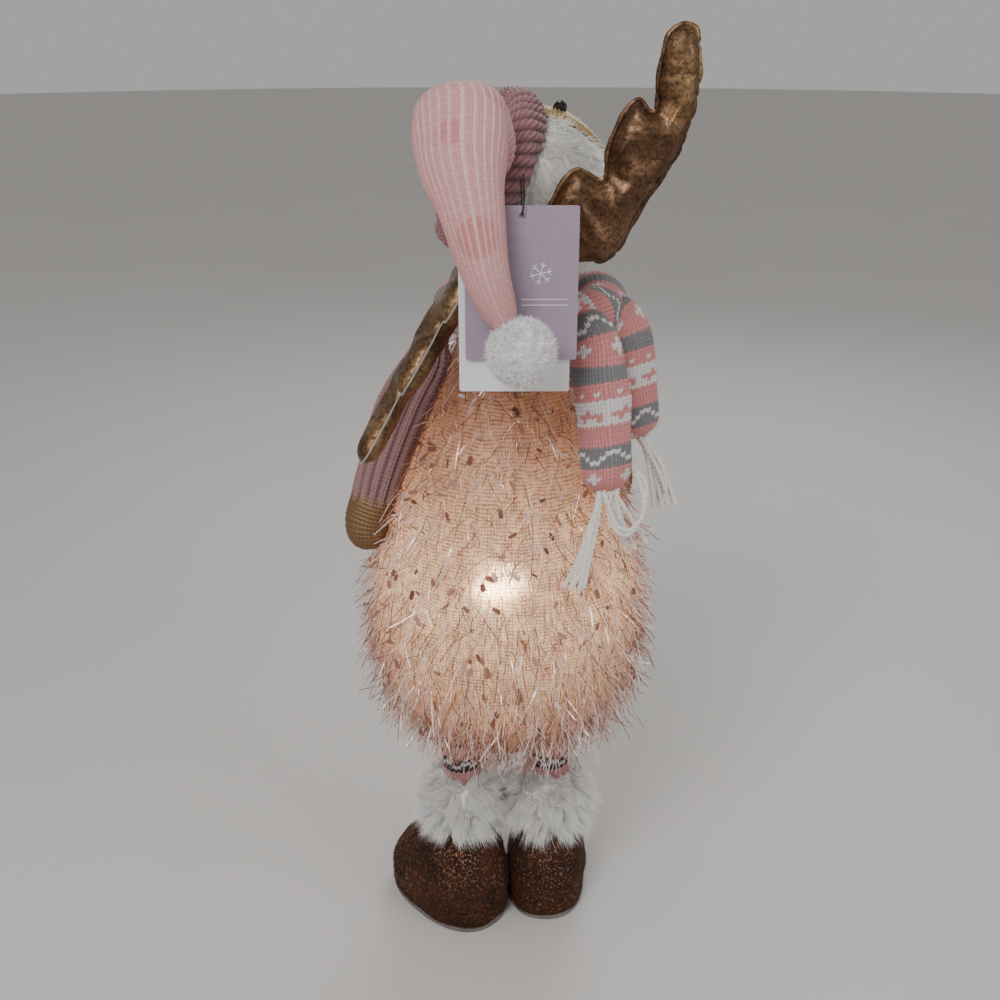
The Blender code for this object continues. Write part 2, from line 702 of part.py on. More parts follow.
def catmull_rom(before, here, there, beyond, share):
    square, cube = share**2, share**3
    return (
        here * 2
        + (there - before) * share
        + (before * 2 - here * 5 + there * 4 - beyond) * square
        + (here * 3 - before - there * 3 + beyond) * cube
    ) * 0.5


# Arms and scarf


def beside_body(angle, height, clearance):
    """A point outside the body's cover at a height, in the direction of an angle."""
    reach = body_radius(height) + clearance
    return Vector((BODY_X + reach * math.cos(angle), reach * math.sin(angle), height))


def add_arm(side, angle, pivot, surfaces):
    path = [(beside_body(angle, z, r + ARM_CLEARANCE), r, r) for z, r in ARM_PROFILE]
    path[0] = (path[1][0] + Vector((0, 0, 0.010)), *path[0][1:])
    tangent = Vector((-math.sin(angle), math.cos(angle), 0))
    add_mesh(f"arm_{side}", sweep(path, 16, tangent), surfaces["arm"], pivot)
    centre = beside_body(angle, HOOF_CENTRE_HEIGHT, HOOF_RADII[0] + ARM_CLEARANCE)
    outward = Vector((math.cos(angle), math.sin(angle), 0))
    hoof = ball(centre, HOOF_RADII, 16, (tangent, outward, Vector((0, 0, 1))))
    add_mesh(f"hoof_{side}", hoof, surfaces["hoof"], pivot)


def shoulder(angle):
    return beside_body(angle, SHOULDER_HEIGHT, SHOULDER_REACH)


def add_scarf_wrap(pivot, surfaces):
    outline = []
    for step in range(12):
        turn = math.tau * step / 12
        radius = SCARF_RING + SCARF_WIDE * math.cos(turn)
        outline.append((radius, SCARF_CENTRE.z + SCARF_HIGH * math.sin(turn)))
    wrap = lathe(outline, 24, SCARF_CENTRE.x, SCARF_CENTRE.y)
    add_mesh("scarf_wrap", wrap, surfaces["scarf"], pivot, 60)


def add_scarf_tail(number, path, side, tassel, pivot, surfaces):
    add_mesh(f"scarf_tail_{number}", sweep(path, 16, side), surfaces["scarf"], pivot)
    add_mesh(f"tassel_{number}", sweep(tassel, 12, side), surfaces["yarn"], pivot)


SCARF_TAIL_1 = [
    (Vector((0.0540, -0.0530, 0.4262)), 0.0120, 0.0060),
    (Vector((0.0550, -0.0545, 0.4200)), 0.0155, 0.0075),
    (Vector((0.0585, -0.0590, 0.3950)), 0.0160, 0.0075),
    (Vector((0.0615, -0.0635, 0.3600)), 0.0160, 0.0075),
    (Vector((0.0620, -0.0640, 0.3480)), 0.0120, 0.0060),
]
TASSEL_1 = [
    (Vector((0.0610, -0.0660, 0.3440)), 0.0080, 0.0050),
    (Vector((0.0580, -0.0700, 0.3330)), 0.0100, 0.0070),
    (Vector((0.0500, -0.0810, 0.3030)), 0.0130, 0.0080),
]
SCARF_TAIL_2 = [
    (Vector((0.0760, -0.0150, 0.4262)), 0.0110, 0.0060),
    (Vector((0.0775, -0.0155, 0.4200)), 0.0145, 0.0075),
    (Vector((0.0805, -0.0175, 0.3950)), 0.0150, 0.0075),
    (Vector((0.0835, -0.0200, 0.3740)), 0.0145, 0.0075),
    (Vector((0.0845, -0.0205, 0.3660)), 0.0110, 0.0060),
]
TASSEL_2 = [
    (Vector((0.0870, -0.0212, 0.3620)), 0.0070, 0.0050),
    (Vector((0.0930, -0.0215, 0.3500)), 0.0090, 0.0070),
    (Vector((0.1060, -0.0225, 0.3200)), 0.0120, 0.0080),
]


def make_surfaces():
    return {
        "sole": material("grey_sole", (0.30, 0.29, 0.28), 0.8),
        "boot": material("brown_velour", (0.10, 0.05, 0.03), 0.75),
        "steel": material("zinc_steel", (0.62, 0.62, 0.62), 0.35, 1.0),
        "leg": material("striped_knit", (0.55, 0.30, 0.30), 0.9),
        "fur": material("white_fur", (0.86, 0.84, 0.82), 0.95),
        "plastic": material("white_plastic", (0.80, 0.79, 0.76), 0.45),
        "knob": material("black_plastic", (0.03, 0.03, 0.03), 0.4),
        "cell": material("cell_jacket", (0.10, 0.22, 0.14), 0.35, 0.2),
        "lead": material("lead_jacket", (0.75, 0.73, 0.70), 0.5),
        "lamp": material("frosted_lamp", (1.00, 0.86, 0.62), 0.3),
        "cover": material("tinsel_yarn", (0.90, 0.72, 0.60), 0.7),
        "liner": material("white_wadding", (0.93, 0.91, 0.86), 0.95),
        "wire": material("white_wire", (0.82, 0.81, 0.78), 0.45, 0.4),
        "gold": material("gold_knit", (0.60, 0.46, 0.26), 0.55, 0.5),
        "bead": material("black_bead", (0.01, 0.01, 0.01), 0.08),
        "cuff": material("rose_cable_knit", (0.62, 0.36, 0.38), 0.9),
        "cap": material("pink_knit", (0.82, 0.50, 0.50), 0.9),
        "antler": material("bronze_foil", (0.30, 0.17, 0.08), 0.38, 0.6),
        "swing_tag": material("mauve_card", (0.40, 0.32, 0.42), 0.5),
        "back_tag": material("white_card", (0.82, 0.82, 0.83), 0.5),
        "string": material("black_string", (0.02, 0.02, 0.02), 0.8),
        "arm": material("dusty_pink_knit", (0.50, 0.34, 0.35), 0.9),
        "hoof": material("brown_knit", (0.30, 0.20, 0.12), 0.85),
        "scarf": material("patterned_knit", (0.72, 0.55, 0.55), 0.9),
        "yarn": material("cream_yarn", (0.86, 0.84, 0.78), 0.9),
    }


def main():
    clear_scene()
    surfaces = make_surfaces()
    figure = Pivot("figure", (0, 0, 0))
    neck = Pivot("neck_turn", (NECK_X, 0, 0.4400), figure)
    head = Pivot("head_nod", (NECK_X, 0, NOD_HEIGHT), neck)
    hat_tail = Pivot("hat_tail_swing", TAIL_TOP, head)
    tags = Pivot("tag_swing", STRING_TOP, head)
    antler_right = Pivot("antler_right_sway", RIGHT_ANTLER_ROOT, head)
    antler_left = Pivot("antler_left_sway", LEFT_ANTLER_ROOT, head)
    arm_left = Pivot("arm_left_lift", shoulder(LEFT_ARM_ANGLE), figure)
    arm_right = Pivot("arm_right_lift", shoulder(RIGHT_ARM_ANGLE), figure)
    scarf_1 = Pivot("scarf_1_swing", SCARF_TAIL_1[0][0], figure)
    scarf_2 = Pivot("scarf_2_swing", SCARF_TAIL_2[0][0], figure)
    door = Pivot("door_lift", (BODY_X, 0, DOOR_BOTTOM), figure)
    knob = Pivot("switch_slide", (BODY_X, SWITCH_Y, BASE_PLATE_TOP), figure)

    legs = {
        "left": Vector((BODY_X - LEG_SPREAD, -LEG_DEPTH, 0)),
        "right": Vector((BODY_X + LEG_SPREAD, LEG_DEPTH, 0)),
    }
    boots = {
        "left": {
            "centre": Vector((-0.0375, -0.0024, 0)),
            "toe": Vector((-0.68, 0.73, 0)),
            "length": 0.0980,
            "width": 0.0620,
        },
        "right": {
            "centre": Vector((0.0338, 0.0150, 0)),
            "toe": Vector((0.05, 1.00, 0)),
            "length": 0.0960,
            "width": 0.0590,
        },
    }
    for side, spec in boots.items():
        spec["leg"] = legs[side]
        spec["toe"].normalize()
        add_boot(side, spec, figure, surfaces)
        add_leg(side, legs[side], figure, surfaces)
    add_base(figure, legs, surfaces)
    add_battery_case(figure, door, knob, surfaces)
    add_lamp(figure, surfaces)
    add_skins(figure, surfaces)
    add_frame(figure, surfaces)
    add_neck(figure, neck, surfaces)
    add_head(head, surfaces)
    add_cap(head, hat_tail, surfaces)
    along, tines = Vector((0.466, 0.0, 0.886)), Vector((-0.886, 0.0, 0.466))
    add_antler("antler_right", RIGHT_ANTLER_ROOT, along, tines, antler_right, surfaces)
    along, tines = Vector((-0.500, -0.300, -0.810)), Vector((0.160, -0.950, 0.250))
    add_antler("antler_left", LEFT_ANTLER_ROOT, along, tines, antler_left, surfaces)
    add_tags(tags, surfaces)
    add_arm("left", LEFT_ARM_ANGLE, arm_left, surfaces)
    add_arm("right", RIGHT_ARM_ANGLE, arm_right, surfaces)
    add_scarf_wrap(figure, surfaces)
    add_scarf_tail(1, SCARF_TAIL_1, Vector((0.93, 0.37, 0)), TASSEL_1, scarf_1, surfaces)
    add_scarf_tail(2, SCARF_TAIL_2, Vector((0.80, 0.60, 0)), TASSEL_2, scarf_2, surfaces)


main()
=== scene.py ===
import math

import bpy
import numpy as np
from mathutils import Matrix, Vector, geometry


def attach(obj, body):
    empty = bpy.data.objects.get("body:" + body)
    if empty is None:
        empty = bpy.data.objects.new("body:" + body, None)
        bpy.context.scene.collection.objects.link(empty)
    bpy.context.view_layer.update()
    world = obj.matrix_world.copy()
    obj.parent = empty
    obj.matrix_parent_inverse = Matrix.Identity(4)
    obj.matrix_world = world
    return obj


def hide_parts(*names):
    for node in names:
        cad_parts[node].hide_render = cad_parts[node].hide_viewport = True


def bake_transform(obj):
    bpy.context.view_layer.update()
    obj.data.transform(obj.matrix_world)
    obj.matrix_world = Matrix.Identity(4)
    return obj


# The figure's own coordinates are the row frame's, less this shift.
SHIFT = np.array((-0.0100, 0.0250, 0.0))
BODY_X = 0.004
BODY_PROFILE = (
    (0.1475, 0.0375),
    (0.1580, 0.0540),
    (0.1725, 0.0672),
    (0.1900, 0.0775),
    (0.2105, 0.0840),
    (0.2350, 0.0863),
    (0.2580, 0.0850),
    (0.2840, 0.0808),
    (0.3120, 0.0738),
    (0.3410, 0.0645),
    (0.3680, 0.0535),
    (0.3880, 0.0445),
    (0.4080, 0.0350),
    (0.4235, 0.0285),
)
LASH_WALL = 0.1005  # no lash reaches further than this from the body's axis
LASH_HEM = 0.1440  # a lash that hangs below about this height is pressed back up
LAMP = np.array((BODY_X, 0.0, 0.2600))
HEAD = np.array((0.018, 0.0, 0.508))
HEAD_RADIUS = 0.045
PLUSH_RADIUS = 0.0435  # the head's backing cloth, under the fur and the mask
MASK_ANGLE = math.radians(64)  # the gold knit covers the head this far round from the face's middle
POMPOM = np.array((0.0108, -0.1190, 0.4450))
POMPOM_RADIUS = 0.0166
TAG_X = 0.0112
TAG_HOLE_HEIGHT = 0.5100
SCARF = np.array((0.018, 0.0, 0.4425))
LEGS = {"left": np.array((-0.027, -0.0015, 0.0)), "right": np.array((0.035, 0.0015, 0.0))}
UP = np.array((0.0, 0.0, 1.0))
X = np.array((1.0, 0.0, 0.0))


def unit(vector):
    vector = np.asarray(vector, float)
    return vector / np.maximum(np.linalg.norm(vector, axis=-1, keepdims=True), 1e-12)


FACE = unit((0.120, 0.780, 0.610))
CROWN = unit((-0.860, -0.220, 0.450))
RIGHT = unit(np.cross(FACE, CROWN))

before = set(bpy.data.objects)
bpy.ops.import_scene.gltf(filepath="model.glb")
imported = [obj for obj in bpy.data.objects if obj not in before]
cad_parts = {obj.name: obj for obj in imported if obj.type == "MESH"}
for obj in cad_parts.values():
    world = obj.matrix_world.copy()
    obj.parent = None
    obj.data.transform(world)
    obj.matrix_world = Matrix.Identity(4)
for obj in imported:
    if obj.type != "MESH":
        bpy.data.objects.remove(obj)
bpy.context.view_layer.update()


# Materials


class Shader:
    """A Principled material and the nodes that feed it, placed by the piece's own coordinates."""

    def __init__(self, name, roughness=0.6, **fixed):
        self.made = bpy.data.materials.new(name)
        self.made.use_nodes = True
        self.tree = self.made.node_tree
        self.shader = self.tree.nodes["Principled BSDF"]
        self.output = self.tree.nodes["Material Output"]
        self.place = self.node("ShaderNodeTexCoord").outputs["Object"]
        self.set(self.shader, Roughness=roughness, **fixed)

    def node(self, kind, inputs=None, **settings):
        made = self.tree.nodes.new(kind)
        for key, value in settings.items():
            setattr(made, key, value)
        for key, value in (inputs or {}).items():
            self.feed(made.inputs[key], value)
        return made

    def feed(self, socket, value):
        if isinstance(value, bpy.types.NodeSocket):
            self.tree.links.new(value, socket)
        elif hasattr(value, "__len__") and len(value) == 3 and socket.type == "RGBA":
            socket.default_value = (*value, 1.0)
        else:
            socket.default_value = value

    def set(self, target, **inputs):
        for key, value in inputs.items():
            self.feed(target.inputs[key.replace("_", " ")], value)

    def math(self, operation, *values):
        made = self.node("ShaderNodeMath", dict(enumerate(values)), operation=operation)
        return made.outputs[0]

    def noise(self, scale, detail=3.0, stretch=None, rough=0.5):
        place = self.place
        if stretch:
            scaled = self.node("ShaderNodeMapping", {"Vector": place, "Scale": stretch})
            place = scaled.outputs[0]
        inputs = {"Vector": place, "Scale": scale, "Detail": detail, "Roughness": rough}
        return self.node("ShaderNodeTexNoise", inputs).outputs["Fac"]

    def ramp(self, factor, *stops):
        made = self.node("ShaderNodeValToRGB", {"Fac": factor})
        points = made.color_ramp.elements
        while len(points) < len(stops):
            points.new(0.5)
        for point, (place, colour) in zip(points, stops):
            point.position = place
            point.color = (*colour, 1.0) if hasattr(colour, "__len__") else (colour, colour, colour, 1.0)
        return made.outputs["Color"]

    def mix(self, factor, first, second, blend="MIX"):
        inputs = {"Factor": factor, "A": first, "B": second}
        made = self.tree.nodes.new("ShaderNodeMix")
        made.data_type = "RGBA"
        made.blend_type = blend
        sockets = {"Factor": made.inputs[0], "A": made.inputs[6], "B": made.inputs[7]}
        for key, value in inputs.items():
            self.feed(sockets[key], value)
        return made.outputs[2]

    def attribute(self, name, output="Color"):
        return self.node("ShaderNodeAttribute", attribute_name=name).outputs[output]

    def bump(self, height, strength, distance):
        inputs = {"Height": height, "Strength": strength, "Distance": distance}
        self.feed(self.shader.inputs["Normal"], self.node("ShaderNodeBump", inputs).outputs[0])
        return self

    def base(self, colour):
        self.feed(self.shader.inputs["Base Color"], colour)
        return self

    def glow_through(self, colour, share):
        """Mixes in light that passes through from behind, as thin cloth and fibre let it."""
        through = self.node("ShaderNodeBsdfTranslucent", {"Color": colour})
        mixed = self.node(
            "ShaderNodeMixShader", {0: share, 1: self.shader.outputs[0], 2: through.outputs[0]}
        )
        self.tree.links.new(mixed.outputs[0], self.output.inputs["Surface"])
        return self


def plain(name, colour, roughness, vary=0.12, scale=90.0, bump=0.15, depth=0.0002, **fixed):
    """A hard material: uneven tone, faint marks in the gloss and a fine grain."""
    made = Shader(name, roughness, **fixed)
    tone = made.noise(scale, 4.0)
    dark = tuple(c * (1 - vary) for c in colour)
    light = tuple(min(1.0, c * (1 + vary)) for c in colour)
    made.base(made.ramp(tone, (0.3, dark), (0.7, light)))
    marks = made.noise(scale * 3, 2.0)
    low, high = max(0.02, roughness * 0.75), min(1.0, roughness * 1.25)
    made.feed(made.shader.inputs["Roughness"], made.ramp(marks, (0.3, low), (0.7, high)))
    return made.bump(made.noise(scale * 14, 3.0), bump, depth).made


def wool(name, sheen=0.35, fuzz=0.5, tint=None):
    """Knitted wool: the stitch's own colour, with painted shade down between the stitches, and loose
    fibres.
    """
    made = Shader(name, 0.9, Sheen_Weight=sheen, Sheen_Roughness=0.45, Specular_IOR_Level=0.2)
    stitch = tint or made.attribute("tint")
    mottle = made.ramp(made.noise(420.0, 4.0, rough=0.6), (0.3, 0.88), (0.7, 1.06))
    colour = made.mix(1.0, stitch, mottle, "MULTIPLY")
    made.base(colour)
    fibres = made.noise(1900.0, 3.0, rough=0.7)
    twist = made.noise(900.0, 2.0, stretch=(1.0, 1.0, 0.35))
    made.bump(made.math("ADD", fibres, made.math("MULTIPLY", twist, 0.7)), fuzz, 0.0004)
    return made.glow_through(made.mix(1.0, colour, (0.95, 0.85, 0.85), "MULTIPLY"), 0.12).made


def pile(name, root, tip, through=0.3, roughness=0.65, sheen=0.3, specular=0.35):
    """Fibres of fur: painted shade towards the root, each one a little different."""
    made = Shader(name, roughness, Sheen_Weight=sheen, Specular_IOR_Level=specular)
    # Painted shade: the root colour is the darker one, standing in for shade deep in the pile
    colour = made.ramp(made.attribute("along", "Fac"), (0.0, root), (0.55, tip))
    shade = made.ramp(made.attribute("shade", "Fac"), (0.0, 0.82), (1.0, 1.1))
    colour = made.mix(1.0, colour, shade, "MULTIPLY")
    streak = made.ramp(made.noise(700.0, 2.0), (0.3, 0.88), (0.7, 1.06))
    colour = made.mix(1.0, colour, streak, "MULTIPLY")
    return made.base(colour).glow_through(colour, through).made


# Shapes


def new_piece(name, points, faces, surface, attributes=None, smooth=True):
    """A mesh object from arrays in the figure's coordinates. faces all have the same number of corners."""
    mesh = bpy.data.meshes.new(name)
    faces = np.asarray(faces, np.int32)
    count, corners = faces.shape
    mesh.vertices.add(len(points))
    mesh.vertices.foreach_set("co", (np.asarray(points, float) + SHIFT).astype(np.float32).ravel())
    mesh.loops.add(count * corners)
    mesh.loops.foreach_set("vertex_index", faces.ravel())
    mesh.polygons.add(count)
    mesh.polygons.foreach_set("loop_start", np.arange(count, dtype=np.int32) * corners)
    mesh.update(calc_edges=True)
    for key, values in (attributes or {}).items():
        values = np.asarray(values, np.float32)
        if values.ndim == 2:
            made = mesh.attributes.new(key, "FLOAT_COLOR", "POINT")
            rgba = np.concatenate([values, np.ones((len(values), 1), np.float32)], axis=1)
            made.data.foreach_set("color", rgba.ravel())
        else:
            mesh.attributes.new(key, "FLOAT", "POINT").data.foreach_set("value", values)
    mesh.materials.append(surface)
    if smooth:
        mesh.shade_smooth()
    made = bpy.data.objects.new(name, mesh)
    bpy.context.collection.objects.link(made)
    return made


def grid_faces(rows, columns, ring=False):
    """Quads of a grid whose points run round each row; a ring also joins its last row to its first."""
    row, column = np.meshgrid(np.arange(rows - 1), np.arange(columns), indexing="ij")
    after = (column + 1) % columns
    corners = (
        row * columns + column,
        row * columns + after,
        (row + 1) * columns + after,
        (row + 1) * columns + column,
    )
    faces = np.stack(corners, axis=-1).reshape(-1, 4)
    if not ring:
        return faces
    last, first = (rows - 1) * columns + np.arange(columns), np.arange(columns)
    closing = np.stack([last, np.roll(last, -1), np.roll(first, -1), first], axis=1)
    return np.concatenate([faces, closing])


def spline(keys, share):
    """A smooth curve through rows of numbers, at shares of its course from 0 to 1."""
    keys = np.asarray(keys, float)
    last = len(keys) - 1
    place = np.clip(np.asarray(share, float) * last, 0, last - 1e-9)
    index = place.astype(int)
    part = (place - index)[..., None]
    before, here = keys[np.maximum(index - 1, 0)], keys[index]
    there, beyond = keys[index + 1], keys[np.minimum(index + 2, last)]
    square = 2 * before - 5 * here + 4 * there - beyond
    cube = 3 * here - before - 3 * there + beyond
    return 0.5 * (2 * here + (there - before) * part + square * part**2 + cube * part**3)


def evenly(keys, share):
    """The same curve, at shares of its length. A row's first three numbers are a point."""
    steps = np.linspace(0, 1, 401)
    points = spline(keys, steps)[:, :3]
    length = np.concatenate([[0], np.cumsum(np.linalg.norm(np.diff(points, axis=0), axis=1))])
    return spline(keys, np.interp(share, length / length[-1], steps))


def length_of(keys):
    points = spline(keys, np.linspace(0, 1, 401))[:, :3]
    return float(np.linalg.norm(np.diff(points, axis=0), axis=1).sum())


def tube_surface(keys, side, power=2.0):
    """Points on a tube. Each key holds its centre, its width along side and its thickness."""

    def surface(u, v):
        here = evenly(keys, v)
        ahead, behind = evenly(keys, np.minimum(v + 0.004, 1)), evenly(keys, np.maximum(v - 0.004, 0))
        along = unit(ahead[..., :3] - behind[..., :3])
        across = unit(side - along * (along @ np.asarray(side))[..., None])
        out = np.cross(along, across)
        cos, sin = np.cos(math.tau * u), np.sin(math.tau * u)
        cos, sin = (np.copysign(np.abs(c) ** (2 / power), c)[..., None] for c in (cos, sin))
        return here[..., :3] + across * here[..., 3:4] * cos + out * here[..., 4:5] * sin

    return surface


def lathe_surface(keys, centre):
    """Points on a turned shape. Each key is a radius and a height."""
    keys = [(radius, 0.0, height) for radius, height in keys]

    def surface(u, v):
        here = evenly(keys, v)
        turn = math.tau * u
        x = centre[0] + here[..., 0] * np.cos(turn)
        y = centre[1] + here[..., 0] * np.sin(turn)
        return np.stack([x, y, here[..., 2]], axis=-1)

    return surface


def lumps(points, scale, size, seed):
    """Smooth uneven offsets, from a few waves in different directions."""
    rng = np.random.default_rng(seed)
    total = np.zeros(points.shape[:-1])
    for _ in range(7):
        way = unit(rng.normal(size=3)) * math.tau / scale * rng.uniform(0.6, 1.7)
        total += np.sin(points @ way + rng.uniform(0, math.tau))
    return total * size / 3


def outward(points):
    """Normals of a grid of points whose rows are rings."""
    du = np.roll(points, -1, axis=1) - np.roll(points, 1, axis=1)
    dv = np.gradient(points, axis=0)
    normals = unit(np.cross(du, dv))
    middle = points.mean(axis=1, keepdims=True)
    return normals * np.sign(np.sum(normals * (points - middle)))


def ring_normals(points):
    """Normals of a closed ring, whose rows are sections of the ring."""
    return unit(points - points.mean(axis=1, keepdims=True))


def sampled(rows, columns):
    """The shares round and along a tube of that many rows and columns of points."""
    return np.meshgrid(np.arange(columns) / columns, np.linspace(0, 1, rows))


def skin(name, surface, rows, columns, material, lump=(0.02, 0.0, 0)):
    """A smooth fabric surface with a little unevenness."""
    u, v = sampled(rows, columns)
    points = surface(u, v)
    normals = outward(points)
    points = points + normals * lumps(points, *lump)[..., None]
    return new_piece(name, points.reshape(-1, 3), grid_faces(rows, columns), material)


def knit(
    name,
    surface,
    stitches,
    depth,
    colours,
    material,
    fine=(6, 4),
    rib=0.0,
    every=3,
    ring=False,
    slant=0.55,
    lump=0.0006,
):
    """A knitted surface: every stitch is a V of two raised legs, and its tint holds painted shade in the
    low parts. rib sinks one column in every few.
    """
    columns, rows = stitches
    across, along = columns * fine[0], rows * fine[1]
    u = np.arange(across) / across
    v = np.arange(along) / along if ring else np.linspace(0, 1, along + 1)
    u, v = np.meshgrid(u, v)
    points = surface(u, v)
    normals = outward(points) if not ring else ring_normals(points)
    column = u * columns
    leg = np.abs(column - np.floor(column) - 0.5) * 2
    place = v * rows + slant * leg
    row = np.floor(place)
    height = np.sin(math.pi * np.clip(leg, 0.02, 0.98)) ** 0.7
    height = height * (0.35 + 0.65 * np.sin(math.pi * (place - row)) ** 0.6)
    which = np.floor(column).astype(int) % columns
    sunk = np.sin(math.pi * (column - np.floor(column))) ** 0.8 * (which % every == 0)
    raised = depth * height - rib * sunk
    raised = raised + lumps(points, 0.035, lump, 3)
    points = points + normals * raised[..., None]
    # Painted shade: the tint darkens where a stitch sinks and in the sunk rib columns
    shade = (0.60 + 0.40 * height) * (1 - 0.35 * sunk * (rib > 0.001))
    tint = colours(which, row.astype(int) % rows, points) * shade[..., None]
    faces = grid_faces(len(v), across, ring)
    return new_piece(name, points.reshape(-1, 3), faces, material, {"tint": tint.reshape(-1, 3)})


def one_colour(colour):
    return lambda column, row, points: np.broadcast_to(np.array(colour), (*column.shape, 3))


def strands(
    name,
    roots,
    ways,
    lengths,
    width,
    material,
    steps=3,
    droop=0.0,
    curl=0.0,
    seed=0,
    tint=None,
    taper=0.9,
    within=None,
):
    """Ribbons that grow from roots along ways, sag, and wander by curl. within may move their points."""
    rng = np.random.default_rng(seed)
    count = len(roots)
    share = np.linspace(0, 1, steps + 1)[None, :, None]
    lengths = np.broadcast_to(np.asarray(lengths, float), (count,))[:, None, None]
    bend = unit(rng.normal(size=(count, 3)))[:, None, :]
    middle = roots[:, None, :] + ways[:, None, :] * lengths * share
    middle = middle + bend * lengths * curl * share**2 - UP * droop * lengths * share**2
    if within:
        middle = within(middle)
    side = unit(np.cross(ways, rng.normal(size=(count, 3))))[:, None, :]
    half = width / 2 * (1 - taper * share**1.5)
    points = np.stack([middle - side * half, middle + side * half], axis=2)
    start = (np.arange(count) * (steps + 1) * 2)[:, None]
    step = (np.arange(steps) * 2)[None, :]
    first = start + step
    faces = np.stack([first, first + 1, first + 3, first + 2], axis=-1).reshape(-1, 4)
    along = np.broadcast_to(share[..., 0][:, :, None], (count, steps + 1, 2))
    shade = np.broadcast_to(rng.random((count, 1, 1)), (count, steps + 1, 2))
    attributes = {"along": along.ravel(), "shade": shade.ravel()}
    if tint is not None:
        attributes["tint"] = np.repeat(tint, (steps + 1) * 2, axis=0)
    return new_piece(name, points.reshape(-1, 3), faces, material, attributes)


def scatter(surface, count, seed, low=0.0, high=1.0):
    """Points spread by area over a surface, with their normals."""
    rng = np.random.default_rng(seed)
    u, v = np.meshgrid(np.arange(160) / 160, np.linspace(low, high, 120))
    points = surface(u, v)
    normals = outward(points)
    du = np.linalg.norm(np.roll(points, -1, axis=1) - points, axis=-1)
    dv = np.linalg.norm(np.gradient(points, axis=0), axis=-1)
    weight = (du * dv).ravel()
    chosen = rng.choice(len(weight), count, p=weight / weight.sum())
    jitter = rng.normal(size=(count, 3)) * 0.0006
    return points.reshape(-1, 3)[chosen] + jitter, normals.reshape(-1, 3)[chosen]


def clumped(roots, ways, clumps, reach, pull, seed):
    """Turns the ways of fibres towards the tips of nearby locks."""
    rng = np.random.default_rng(seed)
    picked = rng.choice(len(roots), clumps, replace=False)
    lean = unit(ways[picked] + rng.normal(size=(clumps, 3)) * 0.35)
    tips = roots[picked] + lean * reach
    nearest = np.empty(len(roots), int)
    for start in range(0, len(roots), 2000):
        part = roots[start : start + 2000]
        gap = ((part[:, None, :] - roots[picked][None, :, :]) ** 2).sum(axis=-1)
        nearest[start : start + 2000] = gap.argmin(axis=1)
    towards = unit(tips[nearest] - roots)
    return unit(ways * (1 - pull) + towards * pull)


def sphere_surface(centre, radii, axes):
    """Points on an ellipsoid; v runs from one pole of the third axis to the other."""

    def surface(u, v):
        polar = math.pi * np.clip(v, 0.002, 0.998)
        turn = math.tau * u
        parts = (np.sin(polar) * np.cos(turn), np.sin(polar) * np.sin(turn), -np.cos(polar))
        return centre + sum(p[..., None] * r * np.asarray(a) for p, r, a in zip(parts, radii, axes))

    return surface


def curve_piece(name, runs, radius, material, sides=2):
    """Round cords through runs of points in the figure's coordinates."""
    curve = bpy.data.curves.new(name, "CURVE")
    curve.dimensions = "3D"
    curve.bevel_depth = radius
    curve.bevel_resolution = sides
    curve.use_fill_caps = True
    for run in runs:
        line = curve.splines.new("POLY")
        line.points.add(len(run) - 1)
        for point, place in zip(line.points, run):
            point.co = (*(np.asarray(place) + SHIFT), 1.0)
    curve.materials.append(material)
    made = bpy.data.objects.new(name, curve)
    bpy.context.collection.objects.link(made)
    return made


def place(piece, body, nodes=(), slot=None, fill=None):
    """Puts a finished piece on its body and hides the CAD parts that it stands for."""
    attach(piece, body)
    if nodes:
        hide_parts(*nodes)
    return piece


def inflate(piece, pressure, frames, slack, pinned=None, most=0.010):
    """Blows a closed cloth skin up by cloth simulation and keeps every point within most of its start."""
    mesh = piece.data
    start = np.empty(len(mesh.vertices) * 3, np.float32)
    mesh.vertices.foreach_get("co", start)
    start = start.reshape(-1, 3)
    cloth = piece.modifiers.new("cloth", "CLOTH")
    settings = cloth.settings
    settings.quality = 6
    settings.mass = 0.15
    settings.tension_stiffness = settings.compression_stiffness = 12
    settings.bending_stiffness = 0.25
    settings.air_damping = 2.0
    settings.effector_weights.gravity = 0.0
    settings.use_pressure = True
    settings.uniform_pressure_force = pressure
    settings.shrink_min = -slack
    if pinned is not None:
        group = piece.vertex_groups.new(name="pinned")
        for index, weight in enumerate(pinned):
            if weight > 0:
                group.add([index], float(weight), "REPLACE")
        settings.vertex_group_mass = "pinned"
    cloth.collision_settings.use_collision = False
    cloth.point_cache.frame_start, cloth.point_cache.frame_end = 1, frames
    scene = bpy.context.scene
    for number in range(1, frames + 1):
        scene.frame_set(number)
    graph = bpy.context.evaluated_depsgraph_get()
    shaped = piece.evaluated_get(graph).to_mesh()
    end = np.empty(len(shaped.vertices) * 3, np.float32)
    shaped.vertices.foreach_get("co", end)
    end = end.reshape(-1, 3)
    piece.evaluated_get(graph).to_mesh_clear()
    piece.modifiers.remove(cloth)
    scene.frame_set(1)
    moved = end - start
    far = np.linalg.norm(moved, axis=1, keepdims=True)
    moved *= np.minimum(1.0, most / np.maximum(far, 1e-9))
    mesh.vertices.foreach_set("co", (start + moved).ravel())
    mesh.update()
    return piece


# Colours of the cloth
PALE_PINK = (0.84, 0.42, 0.41)
DOT_PINK = (0.78, 0.31, 0.31)
RIB_WHITE = (0.90, 0.62, 0.60)
# Painted shade: the cuff's pink at half the cap's pink, as the cuff lies in shade
CUFF_PINK_IN_SHADE = (0.42, 0.21, 0.22)
MAUVE = (0.45, 0.25, 0.25)
SALMON = (0.80, 0.32, 0.31)
SCARF_WHITE = (0.90, 0.86, 0.85)
SCARF_GREY = (0.27, 0.265, 0.27)
GOLD = (0.56, 0.40, 0.20)
HOOF = (0.34, 0.20, 0.10)


